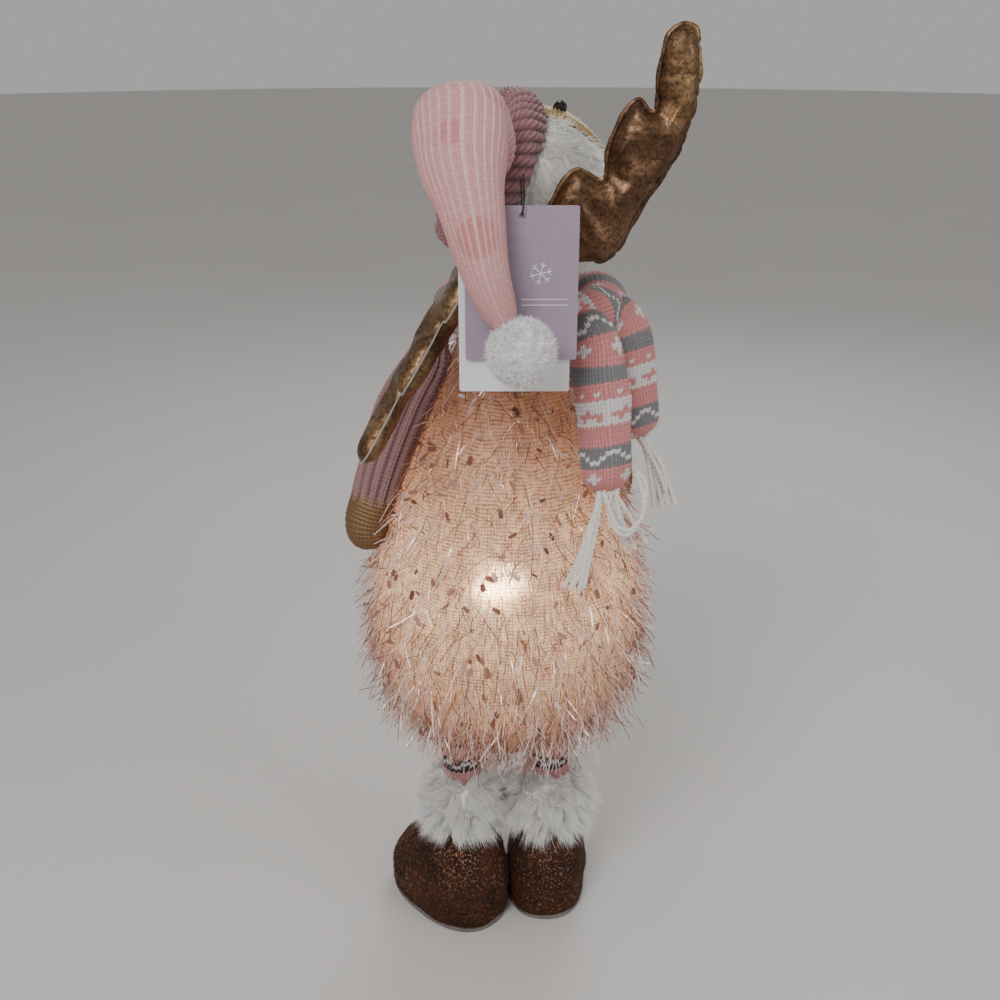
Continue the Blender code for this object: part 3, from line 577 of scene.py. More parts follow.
def make_materials():
    made = {
        "plastic": plain("white_plastic", (0.72, 0.71, 0.68), 0.45),
        "knob": plain("black_plastic", (0.02, 0.02, 0.02), 0.4),
        "steel": plain("zinc_steel", (0.55, 0.55, 0.56), 0.35, Metallic=1.0),
        "wire": plain("white_wire", (0.74, 0.73, 0.70), 0.4),
        "lead": plain("lead_jacket", (0.70, 0.68, 0.64), 0.5),
        "sole": plain("grey_sole", (0.17, 0.155, 0.145), 0.85, vary=0.2, bump=0.4, depth=0.0004),
        "bead": plain("black_bead", (0.006, 0.006, 0.007), 0.06, vary=0.4, bump=0.02, Coat_Weight=0.6),
        "wool": wool("knitted_wool"),
        "cap_wool": wool("cap_wool", sheen=0.25),
        "yarn": wool("cream_yarn", sheen=0.3, fuzz=0.8, tint=(0.90, 0.86, 0.80)),
        "white_fur": pile("white_fur", (0.80, 0.78, 0.75), (0.95, 0.94, 0.92), through=0.2, sheen=0.1),
        "pompom": pile("pompom_wool", (0.88, 0.87, 0.86), (0.96, 0.95, 0.95), through=0.15, sheen=0.1),
    }
    made["gold_wool"] = wool("gold_lurex", sheen=0.1)
    metal = made["gold_wool"].node_tree.nodes["Principled BSDF"].inputs
    metal["Metallic"].default_value = 0.55
    metal["Roughness"].default_value = 0.42
    made["fur_skin"] = skin_cloth("fur_backing", (0.92, 0.90, 0.87))
    made["wadding"] = thin_cloth("white_wadding", (0.93, 0.91, 0.86), clear=0.72)
    made["cover"] = body_cloth()
    made["tinsel"] = tinsel()
    made["flake"] = flake_foil()
    made["foil"] = antler_foil()
    made["felt"] = skin_cloth("grey_felt", (0.40, 0.35, 0.31))
    made["velour"] = velour()
    made["boot_pile"] = pile(
        "boot_pile", (0.010, 0.0035, 0.0015), (0.105, 0.034, 0.013), through=0.0, sheen=0.0, specular=0.12
    )
    made["cell"] = cell_jacket()
    made["lamp"] = lamp_glass()
    made["mauve_card"] = card("mauve_card", (0.34, 0.265, 0.345))
    made["white_card"] = card("white_card", (0.80, 0.80, 0.81))
    made["ink"] = card("pale_ink", (0.78, 0.74, 0.79))
    made["string"] = plain("black_string", (0.012, 0.011, 0.012), 0.8, bump=0.8, depth=0.0003, scale=500.0)
    return made


def skin_cloth(name, colour):
    """Close felted backing cloth."""
    made = Shader(name, 0.95, Sheen_Weight=0.3)
    tone = made.noise(300.0, 5.0)
    made.base(made.ramp(tone, (0.3, tuple(c * 0.75 for c in colour)), (0.7, colour)))
    return made.bump(made.noise(1500.0, 4.0, rough=0.7), 0.6, 0.0006).made


def thin_cloth(name, colour, clear):
    """Loose wadding that lets most light straight through."""
    made = Shader(name, 0.95)
    fibres = made.ramp(
        made.noise(420.0, 5.0, rough=0.7), (0.35, tuple(c * 0.8 for c in colour)), (0.65, colour)
    )
    made.base(fibres).bump(made.noise(900.0, 4.0), 0.6, 0.0006).glow_through(fibres, 0.6)
    body = made.output.inputs["Surface"].links[0].from_socket
    gap = made.node("ShaderNodeBsdfTransparent")
    share = made.ramp(made.noise(160.0, 4.0), (0.3, clear - 0.12), (0.7, clear + 0.12))
    mixed = made.node("ShaderNodeMixShader", {0: share, 1: body, 2: gap.outputs[0]})
    made.tree.links.new(mixed.outputs[0], made.output.inputs["Surface"])
    return made.made


def body_cloth():
    """Open net of fine yarn over cream backing, with painted glow that is brightest near the lamp and
    duller away from it, and painted shade low down.
    """
    made = Shader("yarn_net", 0.85, Sheen_Weight=0.15)
    split = made.node("ShaderNodeSeparateXYZ", {0: made.place})
    x = made.math("SUBTRACT", split.outputs[0], BODY_X + SHIFT[0])
    y = made.math("SUBTRACT", split.outputs[1], SHIFT[1])
    turn = made.math("ARCTAN2", y, x)
    wander = made.math("MULTIPLY", made.math("SUBTRACT", made.noise(70.0, 3.0), 0.5), 2.6)
    column = made.math("ADD", made.math("MULTIPLY", turn, 250 / math.tau), wander)
    fold = made.math("ABSOLUTE", made.math("SUBTRACT", made.math("FRACT", column), 0.5))
    row = made.math("MULTIPLY", split.outputs[2], 1 / 0.0021)
    row = made.math("ADD", made.math("ADD", row, wander), made.math("MULTIPLY", fold, 0.9))
    loop = made.math("ABSOLUTE", made.math("SUBTRACT", made.math("FRACT", row), 0.5))
    cross = made.ramp(loop, (0.27, 0.0), (0.40, 1.0))
    wale = made.ramp(fold, (0.30, 0.0), (0.42, 1.0))
    patchy = made.ramp(made.noise(260.0, 3.0), (0.36, 0.25), (0.60, 1.0))
    line = made.math("MULTIPLY", made.math("MAXIMUM", cross, made.math("MULTIPLY", wale, 0.75)), patchy)
    # Painted light: the base colour runs from pale cream near the lamp to brown away from it
    away = made.node(
        "ShaderNodeVectorMath", {0: made.place, 1: tuple(LAMP + SHIFT)}, operation="DISTANCE"
    ).outputs["Value"]
    patch = made.math("MULTIPLY", made.math("SUBTRACT", made.noise(34.0, 4.0), 0.5), 0.05)
    near = made.math("MULTIPLY", made.math("ADD", away, patch), 5.0)
    ground = made.ramp(
        near,
        (0.38, (0.93, 0.84, 0.68)),
        (0.50, (0.84, 0.64, 0.49)),
        (0.62, (0.68, 0.45, 0.34)),
        (0.78, (0.47, 0.31, 0.21)),
    )
    # Painted shade: below about 0.155 m the cloth turns dark brown, blending to the lit colour by 0.195 m;
    # the painted glow fades out there too
    low_shade_mask = made.ramp(made.math("MULTIPLY", split.outputs[2], 4.0), (0.62, 0.0), (0.78, 1.0))
    ground = made.mix(low_shade_mask, (0.16, 0.075, 0.055), ground)
    colour = made.mix(line, ground, (0.24, 0.11, 0.075))
    made.base(colour).bump(line, 0.8, 0.0006)
    through = made.node("ShaderNodeBsdfTranslucent", {"Color": colour})
    ahead = made.node("ShaderNodeBsdfRefraction", {"Color": colour, "Roughness": 0.62, "IOR": 1.3})
    soft = made.node("ShaderNodeMixShader", {0: 0.30, 1: through.outputs[0], 2: ahead.outputs[0]})
    cloth = made.node("ShaderNodeMixShader", {0: 0.55, 1: made.shader.outputs[0], 2: soft.outputs[0]})
    made.tree.links.new(cloth.outputs[0], made.output.inputs["Surface"])
    # Painted glow: the cloth itself emits, most near the lamp and none low down
    made.feed(made.shader.inputs["Emission Color"], made.mix(1.0, colour, (1.0, 0.74, 0.52), "MULTIPLY"))
    strength = made.ramp(near, (0.40, 0.36), (0.60, 0.14), (0.80, 0.03))
    made.feed(made.shader.inputs["Emission Strength"], made.math("MULTIPLY", strength, low_shade_mask))
    return made.made


def tinsel():
    """Thin metallised ribbon."""
    made = Shader("eyelash_tinsel", 0.26, Metallic=0.35)
    streak = made.ramp(made.noise(500.0, 2.0), (0.3, 0.75), (0.7, 1.15))
    colour = made.mix(1.0, made.attribute("tint"), streak, "MULTIPLY")
    return made.base(colour).glow_through(colour, 0.25).made


def flake_foil():
    """Flat flecks of pinkish brown foil paper."""
    made = Shader("fleck_paper", 0.45, Metallic=0.15)
    tone = made.ramp(
        made.attribute("shade", "Fac"),
        (0.0, (0.20, 0.085, 0.055)),
        (0.45, (0.42, 0.20, 0.15)),
        (0.75, (0.68, 0.42, 0.36)),
        (0.95, (0.92, 0.76, 0.72)),
    )
    grain = made.ramp(made.noise(800.0, 3.0), (0.3, 0.8), (0.7, 1.1))
    colour = made.mix(1.0, tone, grain, "MULTIPLY")
    return made.base(colour).glow_through(colour, 0.2).made


def antler_foil():
    """Foil-printed fabric, gold where it is rubbed and mottled brown elsewhere."""
    made = Shader("mottled_foil", 0.36, Metallic=0.75, Coat_Weight=0.15, Coat_Roughness=0.3)
    patch = made.noise(17.0, 5.0, rough=0.6)
    metal = made.ramp(
        patch,
        (0.30, (0.070, 0.030, 0.014)),
        (0.46, (0.155, 0.076, 0.034)),
        (0.60, (0.320, 0.190, 0.085)),
        (0.72, (0.600, 0.440, 0.230)),
    )
    speck = made.ramp(made.noise(520.0, 4.0, rough=0.75), (0.40, 0.40), (0.56, 1.12))
    blot = made.ramp(made.noise(120.0, 5.0, rough=0.7), (0.38, 0.62), (0.60, 1.10))
    colour = made.mix(1.0, made.mix(1.0, metal, speck, "MULTIPLY"), blot, "MULTIPLY")
    made.base(colour)
    rough = made.ramp(made.noise(150.0, 4.0), (0.3, 0.28), (0.7, 0.50))
    made.feed(made.shader.inputs["Roughness"], rough)
    creases = made.math("MULTIPLY", made.noise(45.0, 4.0), 2.2)
    return made.bump(made.math("ADD", creases, made.math("MULTIPLY", speck, 0.3)), 0.35, 0.0008).made


def velour():
    """Dark red-brown short pile with copper flecks."""
    made = Shader("brown_velour", 0.7, Specular_IOR_Level=0.25)
    ground = made.ramp(
        made.noise(38.0, 5.0, rough=0.6), (0.32, (0.010, 0.0032, 0.0015)), (0.70, (0.060, 0.018, 0.006))
    )
    worn = made.ramp(made.noise(24.0, 3.0), (0.42, 0.25), (0.62, 1.0))
    fleck = made.ramp(made.noise(560.0, 2.0, rough=0.8), (0.55, 0.0), (0.64, 1.0))
    fleck = made.math("MULTIPLY", fleck, worn)
    made.base(made.mix(fleck, ground, (0.36, 0.19, 0.12)))
    made.feed(made.shader.inputs["Metallic"], made.math("MULTIPLY", fleck, 0.6))
    made.feed(made.shader.inputs["Roughness"], made.ramp(fleck, (0.0, 0.80), (1.0, 0.35)))
    return made.bump(made.noise(600.0, 4.0, rough=0.7), 0.8, 0.0008).made


def cell_jacket():
    """A plain green jacket with a copper end band, from the middle of the pair outwards."""
    made = Shader("cell_jacket", 0.3, Metallic=0.3)
    split = made.node("ShaderNodeSeparateXYZ", {0: made.place})
    band = made.ramp(made.math("MULTIPLY", split.outputs[1], 10.0), (0.38, 0.0), (0.39, 1.0))
    scuff = made.ramp(made.noise(200.0, 4.0), (0.35, 0.8), (0.65, 1.1))
    colour = made.mix(band, (0.02, 0.10, 0.05), (0.45, 0.22, 0.10))
    return made.base(made.mix(1.0, colour, scuff, "MULTIPLY")).bump(made.noise(900.0), 0.1, 0.0001).made


def lamp_glass():
    """Frosted warm lamp."""
    made = Shader("frosted_lamp", 0.35)
    frost = made.ramp(made.noise(700.0, 3.0), (0.3, (1.0, 0.80, 0.52)), (0.7, (1.0, 0.90, 0.68)))
    made.base(frost).bump(made.noise(1500.0), 0.3, 0.0002)
    made.feed(made.shader.inputs["Emission Color"], frost)
    made.shader.inputs["Emission Strength"].default_value = 14.0
    return made.made


def card(name, colour):
    """Smooth coated card with a faint fibre in it."""
    made = Shader(name, 0.42, Coat_Weight=0.2, Coat_Roughness=0.25)
    fibre = made.ramp(made.noise(260.0, 5.0), (0.3, tuple(c * 0.93 for c in colour)), (0.7, colour))
    return made.base(fibre).bump(made.noise(1200.0, 3.0), 0.12, 0.0002).made


MATERIALS = make_materials()


# Body


def body_surface():
    """The cover's outline, turned in at the top over the rim of the neck plate."""
    outline = [(radius, height) for height, radius in BODY_PROFILE]
    return lathe_surface(outline + [(0.0284, 0.4270), (0.0220, 0.4282)], (BODY_X, 0.0))


def pressed_in(middle):
    """Presses lashes back to the wall round the body, and most of the way up to the hem's level."""
    flat = middle[..., :2] - np.array((BODY_X, 0.0))
    far = np.linalg.norm(flat, axis=-1, keepdims=True)
    flat = flat * np.minimum(1.0, LASH_WALL / far) + np.array((BODY_X, 0.0))
    height = middle[..., 2:]
    low = LASH_HEM + 0.0060 * np.sin(middle[:, :1, :1] * 1400.0)
    height = np.where(height < low, low - (low - height) * 0.25, height)
    return np.concatenate([flat, height], axis=-1)


def make_body():
    surface = body_surface()
    cover = skin("body_cloth", surface, 150, 144, MATERIALS["cover"], lump=(0.03, 0.0007, 1))
    place(cover, "stand", ["body_cover"], "tinsel_fabric")
    inner = [(radius - 0.0030, height) for height, radius in BODY_PROFILE[1:-1]]
    wadding = skin(
        "body_wadding",
        lathe_surface(inner, (BODY_X, 0.0)),
        60,
        72,
        MATERIALS["wadding"],
        lump=(0.02, 0.0006, 2),
    )
    place(wadding, "stand", ["liner"], "wadding")

    rng = np.random.default_rng(11)
    count = 15000
    roots, normals = scatter(surface, count, 12, 0.03, 0.97)
    keep = (
        rng.random(count) < np.interp(roots[:, 2], (0.16, 0.22, 0.30, 0.42), (1.0, 0.9, 0.72, 0.6))
    ) & (roots[:, 2] > 0.160)
    roots, normals = roots[keep], normals[keep]
    count = len(roots)
    down = np.where(roots[:, 2] < 0.185, 0.45, 1.1)[:, None] * UP
    ways = unit(normals * 0.8 + rng.normal(size=(count, 3)) * 0.5 - down)
    lengths = rng.uniform(0.008, 0.0185, count) * np.interp(
        roots[:, 2], (0.16, 0.18, 0.30, 0.42), (0.7, 1.0, 1.0, 0.8)
    )
    palette = np.array(((0.98, 0.90, 0.87), (0.93, 0.66, 0.58), (0.66, 0.37, 0.29), (0.26, 0.13, 0.09)))
    tint = palette[rng.choice(4, count, p=(0.24, 0.34, 0.24, 0.18))]
    lashes = strands(
        "tinsel_lashes",
        roots,
        ways,
        lengths,
        0.00052,
        MATERIALS["tinsel"],
        steps=5,
        droop=0.35,
        curl=0.55,
        seed=13,
        tint=tint,
        taper=0.0,
        within=pressed_in,
    )
    place(lashes, "stand", slot="tinsel_fabric")
    make_flecks(surface)


def make_flecks(surface):
    """Small flat flecks that hang among the lashes."""
    rng = np.random.default_rng(21)
    count = 800
    roots, normals = scatter(surface, count, 22, 0.03, 0.96)
    centres = roots + normals * rng.uniform(0.002, 0.0080, (count, 1))
    long = unit(rng.normal(size=(count, 3)) * 0.7 - UP)
    wide = unit(np.cross(long, normals + rng.normal(size=(count, 3)) * 0.6))
    size = rng.uniform(0.6, 1.25, (count, 1))
    bow = np.cross(long, wide)
    outline = (
        (-1.0, -0.4, 0.0),
        (-0.8, 0.8, 0.25),
        (0.6, 0.9, 0.2),
        (1.0, 0.3, 0.0),
        (0.8, -0.8, 0.2),
        (-0.4, -0.9, 0.25),
    )
    corners = []
    for along, across, lift in outline:
        corners.append(
            centres + size * (long * along * 0.0031 + wide * across * 0.0015 + bow * lift * 0.0011)
        )
    points = np.stack(corners, axis=1)
    start = (np.arange(count) * 6)[:, None]
    faces = np.concatenate([start + np.array((0, 1, 2, 3)), start + np.array((0, 3, 4, 5))])
    shade = np.repeat(rng.random(count), 6)
    flecks = new_piece(
        "tinsel_flecks", points.reshape(-1, 3), faces, MATERIALS["flake"], {"shade": shade}, smooth=False
    )
    place(flecks, "stand", slot="tinsel_fabric")


# Legs and boots

BOOTS = {
    "left": {
        "centre": np.array((-0.0375, -0.0024)), "toe": unit((-0.68, 0.73)), "length": 0.098, "width": 0.062
    },
    "right": {
        "centre": np.array((0.0338, 0.0150)), "toe": unit((0.05, 1.00)), "length": 0.096, "width": 0.059
    },
}
BOOT_HAIRS = 14000
# Height, and the outline's share of the boot's full length and width
BOOT_LEVELS = (
    (0.0034, 0.94, 0.94),
    (0.0065, 0.98, 0.98),
    (0.0140, 1.00, 1.01),
    (0.0240, 0.99, 1.00),
    (0.0380, 0.91, 0.94),
    (0.0500, 0.76, 0.83),
    (0.0600, 0.56, 0.66),
    (0.0660, 0.38, 0.48),
)


def boot_surface(side, grow=1.0):
    spec, leg = BOOTS[side], LEGS[side][:2]
    across = np.array((spec["toe"][1], -spec["toe"][0]))

    def surface(u, v):
        height, long, wide = np.moveaxis(spline(BOOT_LEVELS, v), -1, 0)
        rise = np.maximum(0, (height - 0.02) / 0.0455)[..., None]
        middle = spec["centre"] * (1 - rise) + leg * rise
        cos, sin = np.cos(math.tau * u), np.sin(math.tau * u)
        cos, sin = (np.copysign(np.abs(c) ** 0.84, c) for c in (cos, sin))
        flat = middle + spec["toe"] * (spec["length"] / 2 * grow * long * cos)[..., None]
        flat = flat + across * (spec["width"] / 2 * grow * wide * sin)[..., None]
        return np.concatenate([flat, height[..., None]], axis=-1)

    return surface


def make_boot(side):
    surface = boot_surface(side)
    rows, columns = 34, 96
    u, v = sampled(rows, columns)
    points = surface(u, v)
    points = points + outward(points) * lumps(points, 0.03, 0.0008, 31)[..., None]
    ring = rows * columns
    points = np.concatenate([points.reshape(-1, 3), points[-1].mean(axis=0)[None]])
    faces = grid_faces(rows, columns)
    boot = new_piece(f"boot_{side}_cloth", points, faces, MATERIALS["velour"])
    pinned = np.zeros(len(points))
    pinned[: columns * 3] = 1.0
    pinned[ring - columns :] = 1.0
    inflate(boot, 2.0, 16, 0.0, pinned, most=0.002)
    place(boot, "stand", [f"boot_{side}"], "boot", fill=0.85)
    shaped = np.array(
        [point.co for point in boot.data.vertices], float
    )[:ring].reshape(rows, columns, 3) - SHIFT

    rng = np.random.default_rng(32)
    normals = outward(shaped)
    chosen = rng.integers(0, ring, BOOT_HAIRS)
    step = shaped.reshape(-1, 3)[chosen] + rng.normal(size=(BOOT_HAIRS, 3)) * 0.0007
    out = normals.reshape(-1, 3)[chosen]
    step = step - out * np.sum((step - shaped.reshape(-1, 3)[chosen]) * out, axis=1, keepdims=True)
    ways = unit(out * 0.35 + rng.normal(size=(BOOT_HAIRS, 3)) * 0.35 - UP * 0.7)
    pile_piece = strands(
        f"boot_{side}_pile", step - out * 0.0003, ways, rng.uniform(
            0.0012, 0.0022, BOOT_HAIRS
        ), 0.00045, MATERIALS["boot_pile"], steps=1, seed=33
    )
    place(pile_piece, "stand", slot="boot")

    back = columns // 2
    for label, column, top in (("back", back, 30), ("side", back + columns // 5, 30)):
        run = [
            shaped[row, column % columns] + normals[row, column % columns] * 0.0001 for row in range(2, top)
        ]
        seam = curve_piece(f"boot_{side}_{label}_seam", [run], 0.00045, MATERIALS["velour"], sides=1)
        place(seam, "stand", slot="boot")

    edge = []
    for height, share in ((0.0, 0.940), (0.0006, 0.965), (0.0026, 0.972), (0.0033, 0.950)):
        ring_points = boot_surface(side, share)(np.arange(72) / 72, np.full(72, 0.28))
        ring_points[:, 2] = height
        edge.append(ring_points)
    bottom, top = edge[0].mean(axis=0), edge[-1].mean(axis=0)
    points = np.concatenate([*edge, bottom[None], top[None]])
    faces = [list(face) for face in grid_faces(4, 72)]
    around = np.arange(72)
    caps = [(288, (i + 1) % 72, i) for i in around] + [(289, 216 + i, 216 + (i + 1) % 72) for i in around]
    sole = sole_piece(f"sole_{side}_rubber", points, faces, caps)
    place(sole, "stand", [f"sole_{side}"], "sole")


def sole_piece(name, points, faces, caps):
    """The sole slab: quads round its edge and fans over its two faces."""
    mesh = bpy.data.meshes.new(name)
    corners = [tuple(int(i) for i in face) for face in list(faces) + list(caps)]
    mesh.from_pydata([tuple(p + SHIFT) for p in points], [], corners)
    mesh.materials.append(MATERIALS["sole"])
    mesh.shade_smooth()
    mesh.set_sharp_from_angle(angle=math.radians(40))
    made = bpy.data.objects.new(name, mesh)
    bpy.context.collection.objects.link(made)
    return made


def leg_colours(column, row, points):
    """Dusty pink, with dark bands that hold a thin white zigzag."""
    band = row % 8
    dark = (band >= 3) & (band <= 6)
    step = np.array((0, 0, 1, 1))[column % 4]
    white = (band - 4) == step
    made = np.where(dark[..., None], (0.045, 0.042, 0.046), (0.66, 0.31, 0.31))
    return np.where(white[..., None], (0.80, 0.78, 0.76), made)


def make_leg(side):
    leg = LEGS[side]
    sleeve = lathe_surface([(0.0118, 0.0670), (0.0122, 0.0950), (0.0121, 0.1200), (0.0116, 0.1455)], leg)
    cloth = knit(
        f"leg_{side}_knit",
        sleeve,
        (24, 31),
        0.0011,
        leg_colours,
        MATERIALS["wool"],
        fine=(8, 6),
        lump=0.0003,
    )
    place(cloth, "stand", [f"leg_sleeve_{side}"], "leg_knit")

    profile = [
        (0.0130, 0.0680),
        (0.0195, 0.0690),
        (0.0232, 0.0775),
        (0.0242, 0.0870),
        (0.0222, 0.0970),
        (0.0175, 0.1040),
        (0.0126, 0.1050),
    ]
    surface = lathe_surface(profile, leg)
    backing = skin(f"fur_{side}_backing", surface, 24, 48, MATERIALS["fur_skin"], lump=(0.012, 0.0012, 41))
    place(backing, "stand", [f"fur_cuff_{side}"], "fur", fill=0.5)
    rng = np.random.default_rng(42 + (side == "left"))
    count = 26000
    roots, normals = scatter(surface, count, 43 + (side == "left"), 0.03, 0.97)
    ways = unit(normals + rng.normal(size=(count, 3)) * 0.35)
    ways = clumped(roots, ways, 120, 0.017, 0.68, 44)
    lengths = rng.uniform(0.006, 0.0135, count)
    fur = strands(
        f"fur_{side}_pile",
        roots,
        ways,
        lengths,
        0.00034,
        MATERIALS["white_fur"],
        steps=3,
        droop=0.35,
        curl=0.28,
        seed=45,
    )
    place(fur, "stand", slot="fur")


# Head


def head_way(right, face, crown):
    return unit(RIGHT * right + FACE * face + CROWN * crown)


def make_head():
    axes = (RIGHT, CROWN, FACE)
    ball = sphere_surface(HEAD, (PLUSH_RADIUS,) * 3, axes)
    plush = skin("head_plush", ball, 60, 72, MATERIALS["fur_skin"], lump=(0.02, 0.0006, 51))
    place(plush, "head", ["head"], "fur", fill=0.9)

    rng = np.random.default_rng(52)
    count = 36000
    roots, normals = scatter(ball, count, 53)
    away = np.arccos(np.clip(normals @ FACE, -1, 1))
    rise = (roots - HEAD) @ CROWN
    keep = (away > MASK_ANGLE + 0.02) & (rise < 0.020)
    roots, normals = roots[keep], normals[keep]
    ways = unit(normals * 0.75 + rng.normal(size=roots.shape) * 0.35 - UP * 0.3 - FACE * 0.25)
    ways = clumped(roots, ways, 240, 0.012, 0.5, 54)
    lengths = rng.uniform(0.006, 0.0125, len(roots))
    fur = strands(
        "head_pile",
        roots,
        ways,
        lengths,
        0.0003,
        MATERIALS["white_fur"],
        steps=3,
        droop=0.25,
        curl=0.3,
        seed=55,
    )
    place(fur, "head", slot="fur")

    def mask(u, v):
        angle = v * (MASK_ANGLE - 0.01) + 0.01
        rim = np.clip((v - 0.9) / 0.1, 0, 1)
        radius = HEAD_RADIUS + 0.0012 + 0.0016 * np.sqrt(np.maximum(0, 1 - rim**2)) - 0.0012 * rim**4
        turn = math.tau * u
        way = (RIGHT * np.cos(turn)[..., None] + CROWN * np.sin(turn)[..., None]) * np.sin(angle)[..., None]
        return HEAD + (way + FACE * np.cos(angle)[..., None]) * radius[..., None]

    face = knit("face_mask", mask, (54, 20), 0.0013, one_colour(GOLD), MATERIALS["gold_wool"], lump=0.0002)
    place(face, "head", slot="gold_knit")
    middle = HEAD + head_way(0, 1, -0.26) * 0.043
    snout = sphere_surface(middle, (0.0208, 0.0184, 0.0222), (RIGHT, CROWN, FACE))
    muzzle = knit(
        "muzzle_knit", snout, (44, 26), 0.0011, one_colour(GOLD), MATERIALS["gold_wool"], lump=0.0003
    )
    place(muzzle, "head", ["face_knit"], "gold_knit", fill=0.9)

    tip = HEAD + head_way(0, 1, -0.26) * 0.0672
    nose = skin(
        "nose_bead",
        sphere_surface(tip, (0.0066, 0.0052, 0.0050), (RIGHT, CROWN, FACE)),
        20,
        32,
        MATERIALS["bead"],
    )
    place(nose, "head", ["nose"], "bead")
    for side, sign in (("left", -1), ("right", 1)):
        way = head_way(sign * 0.76, 0.60, 0.15)
        centre = HEAD + way * (HEAD_RADIUS + 0.0042)
        eye = skin(
            f"eye_{side}_bead",
            sphere_surface(centre, (0.0040, 0.0040, 0.0036), (RIGHT, CROWN, way)),
            20,
            28,
            MATERIALS["bead"],
        )
        place(eye, "head", [f"eye_{side}"], "bead")

    core = lathe_surface(
        [(0.0050, 0.4275), (0.0135, 0.4285), (0.0142, 0.4400), (0.0138, 0.4560), (0.0060, 0.4620)],
        (0.010, 0.0),
    )
    neck = skin("neck_plush", core, 30, 48, MATERIALS["fur_skin"], lump=(0.012, 0.0003, 56))
    place(neck, "neck", ["neck_core"], "fur", fill=0.8)


# Cap


CUFF_RADIUS = 0.0425


def make_cap():
    """The rolled cuff, whose ribs wind round it like a rope's, and what hangs from it."""
    ring = HEAD + CROWN * 0.029

    def cuff(u, v):
        section = math.tau * u
        wide = CUFF_RADIUS + 0.0052 * np.cos(section)
        high = -0.0010 + 0.0098 * np.sin(section)
        turn = math.tau * v
        out = RIGHT * np.cos(turn)[..., None] + FACE * np.sin(turn)[..., None]
        return ring + out * wide[..., None] + CROWN * high[..., None]

    rows, across = 40, 108
    along = rows * 9
    u, v = np.meshgrid(np.arange(across) / across, np.arange(along) / along)
    points = cuff(u, v)
    out = RIGHT * np.cos(math.tau * v)[..., None] + FACE * np.sin(math.tau * v)[..., None]
    normals = unit(points - ring - out * CUFF_RADIUS)
    rope = v * rows + u * 4.0
    strand = np.abs(np.sin(math.pi * rope)) ** 0.8
    plait = 0.7 + 0.3 * np.cos(math.tau * (u * 20 + rope))
    raised = 0.0028 * strand * plait - 0.0004
    points = points + normals * (raised + lumps(points, 0.02, 0.0008, 57))[..., None]
    # Painted shade: the tint is darker down in the grooves between the rope's strands
    tint = np.array(CUFF_PINK_IN_SHADE) * (0.28 + 0.85 * (strand * plait)[..., None])
    faces = grid_faces(along, across, ring=True)
    band = new_piece(
        "cap_cuff_knit", points.reshape(-1, 3), faces, MATERIALS["wool"], {"tint": tint.reshape(-1, 3)}
    )
    place(band, "head", ["hat_cuff"], "cuff_knit")
    make_cap_sock(HEAD + CROWN * 0.031)
    make_pompom()


def cap_colours(column, row, points):
    """Pink ribs with a thin pale line between them, and rounds of deeper pink."""
    dots = np.array(
        (
            (-0.0230, -0.0985, 0.5480),
            (-0.0110, -0.1190, 0.5035),
            (-0.0010, -0.0800, 0.5700),
            (-0.0450, -0.0620, 0.5480),
            (-0.0400, -0.0250, 0.5640),
            (-0.0120, -0.0420, 0.5740),
            (-0.0200, -0.0750, 0.5130),
        )
    )
    made = np.where((column % 3 == 0)[..., None], RIB_WHITE, PALE_PINK)
    near = np.min(np.linalg.norm(points[..., None, :] - dots, axis=-1), axis=-1)
    return np.where(((near < 0.0104) & (column % 3 != 0))[..., None], DOT_PINK, made)


def make_cap_sock(start):
    """One knitted stocking from the cuff over the crown and down to the pom-pom."""
    keys = []

    def key(centre, wide, thick, side, way):
        side = np.asarray(side, float)
        side = unit(side - way * (side @ way))
        keys.append(np.concatenate([centre, [wide, thick], side, np.cross(way, side)]))

    for rise, fold, radius, way in (
        (0.0, (0.0, 0.0, 0.0), 0.0355, CROWN),
        (0.008, (-0.0010, -0.008, 0.001), 0.0305, (-0.70, -0.60, 0.38)),
        (0.015, (0.0020, -0.024, 0.008), 0.0268, (-0.42, -0.88, 0.20)),
        (0.015, (0.0035, -0.042, 0.011), 0.0252, (-0.12, -0.99, -0.05)),
    ):
        key(start + CROWN * rise + np.array(fold), radius, radius, RIGHT, unit(way))
    for centre, wide, thick, way in (
        ((-0.0205, -0.0740, 0.5520), 0.0246, 0.0250, (0.0, -0.85, -0.52)),
        ((-0.0190, -0.0935, 0.5360), 0.0222, 0.0176, (0.12, -0.50, -0.86)),
        ((-0.0140, -0.1060, 0.5130), 0.0166, 0.0128, (0.22, -0.25, -0.94)),
        ((-0.0078, -0.1120, 0.4850), 0.0118, 0.0092, (0.25, -0.05, -0.96)),
        ((0.0000, -0.1140, 0.4640), 0.0084, 0.0070, (0.33, -0.02, -0.94)),
        ((0.0056, -0.1160, 0.4530), 0.0050, 0.0048, (0.45, 0.0, -0.90)),
    ):
        key(np.array(centre), wide, thick, X, unit(way))

    def surface(u, v):
        here = evenly(keys, v)
        cos, sin = np.cos(math.tau * u), np.sin(math.tau * u)
        cos, sin = (np.copysign(np.abs(c) ** 0.86, c)[..., None] for c in (cos, sin))
        return here[..., :3] + unit(here[..., 5:8]) * here[..., 3:4] * cos + unit(here[..., 8:11]) * here[
            ..., 4:5
        ] * sin

    sock = knit(
        "cap_sock",
        surface,
        (87, 88),
        0.0005,
        cap_colours,
        MATERIALS["cap_wool"],
        fine=(5, 4),
        rib=0.0008,
        lump=0.0008,
    )
    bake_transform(sock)
    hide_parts("hat_crown", "hat_tail")


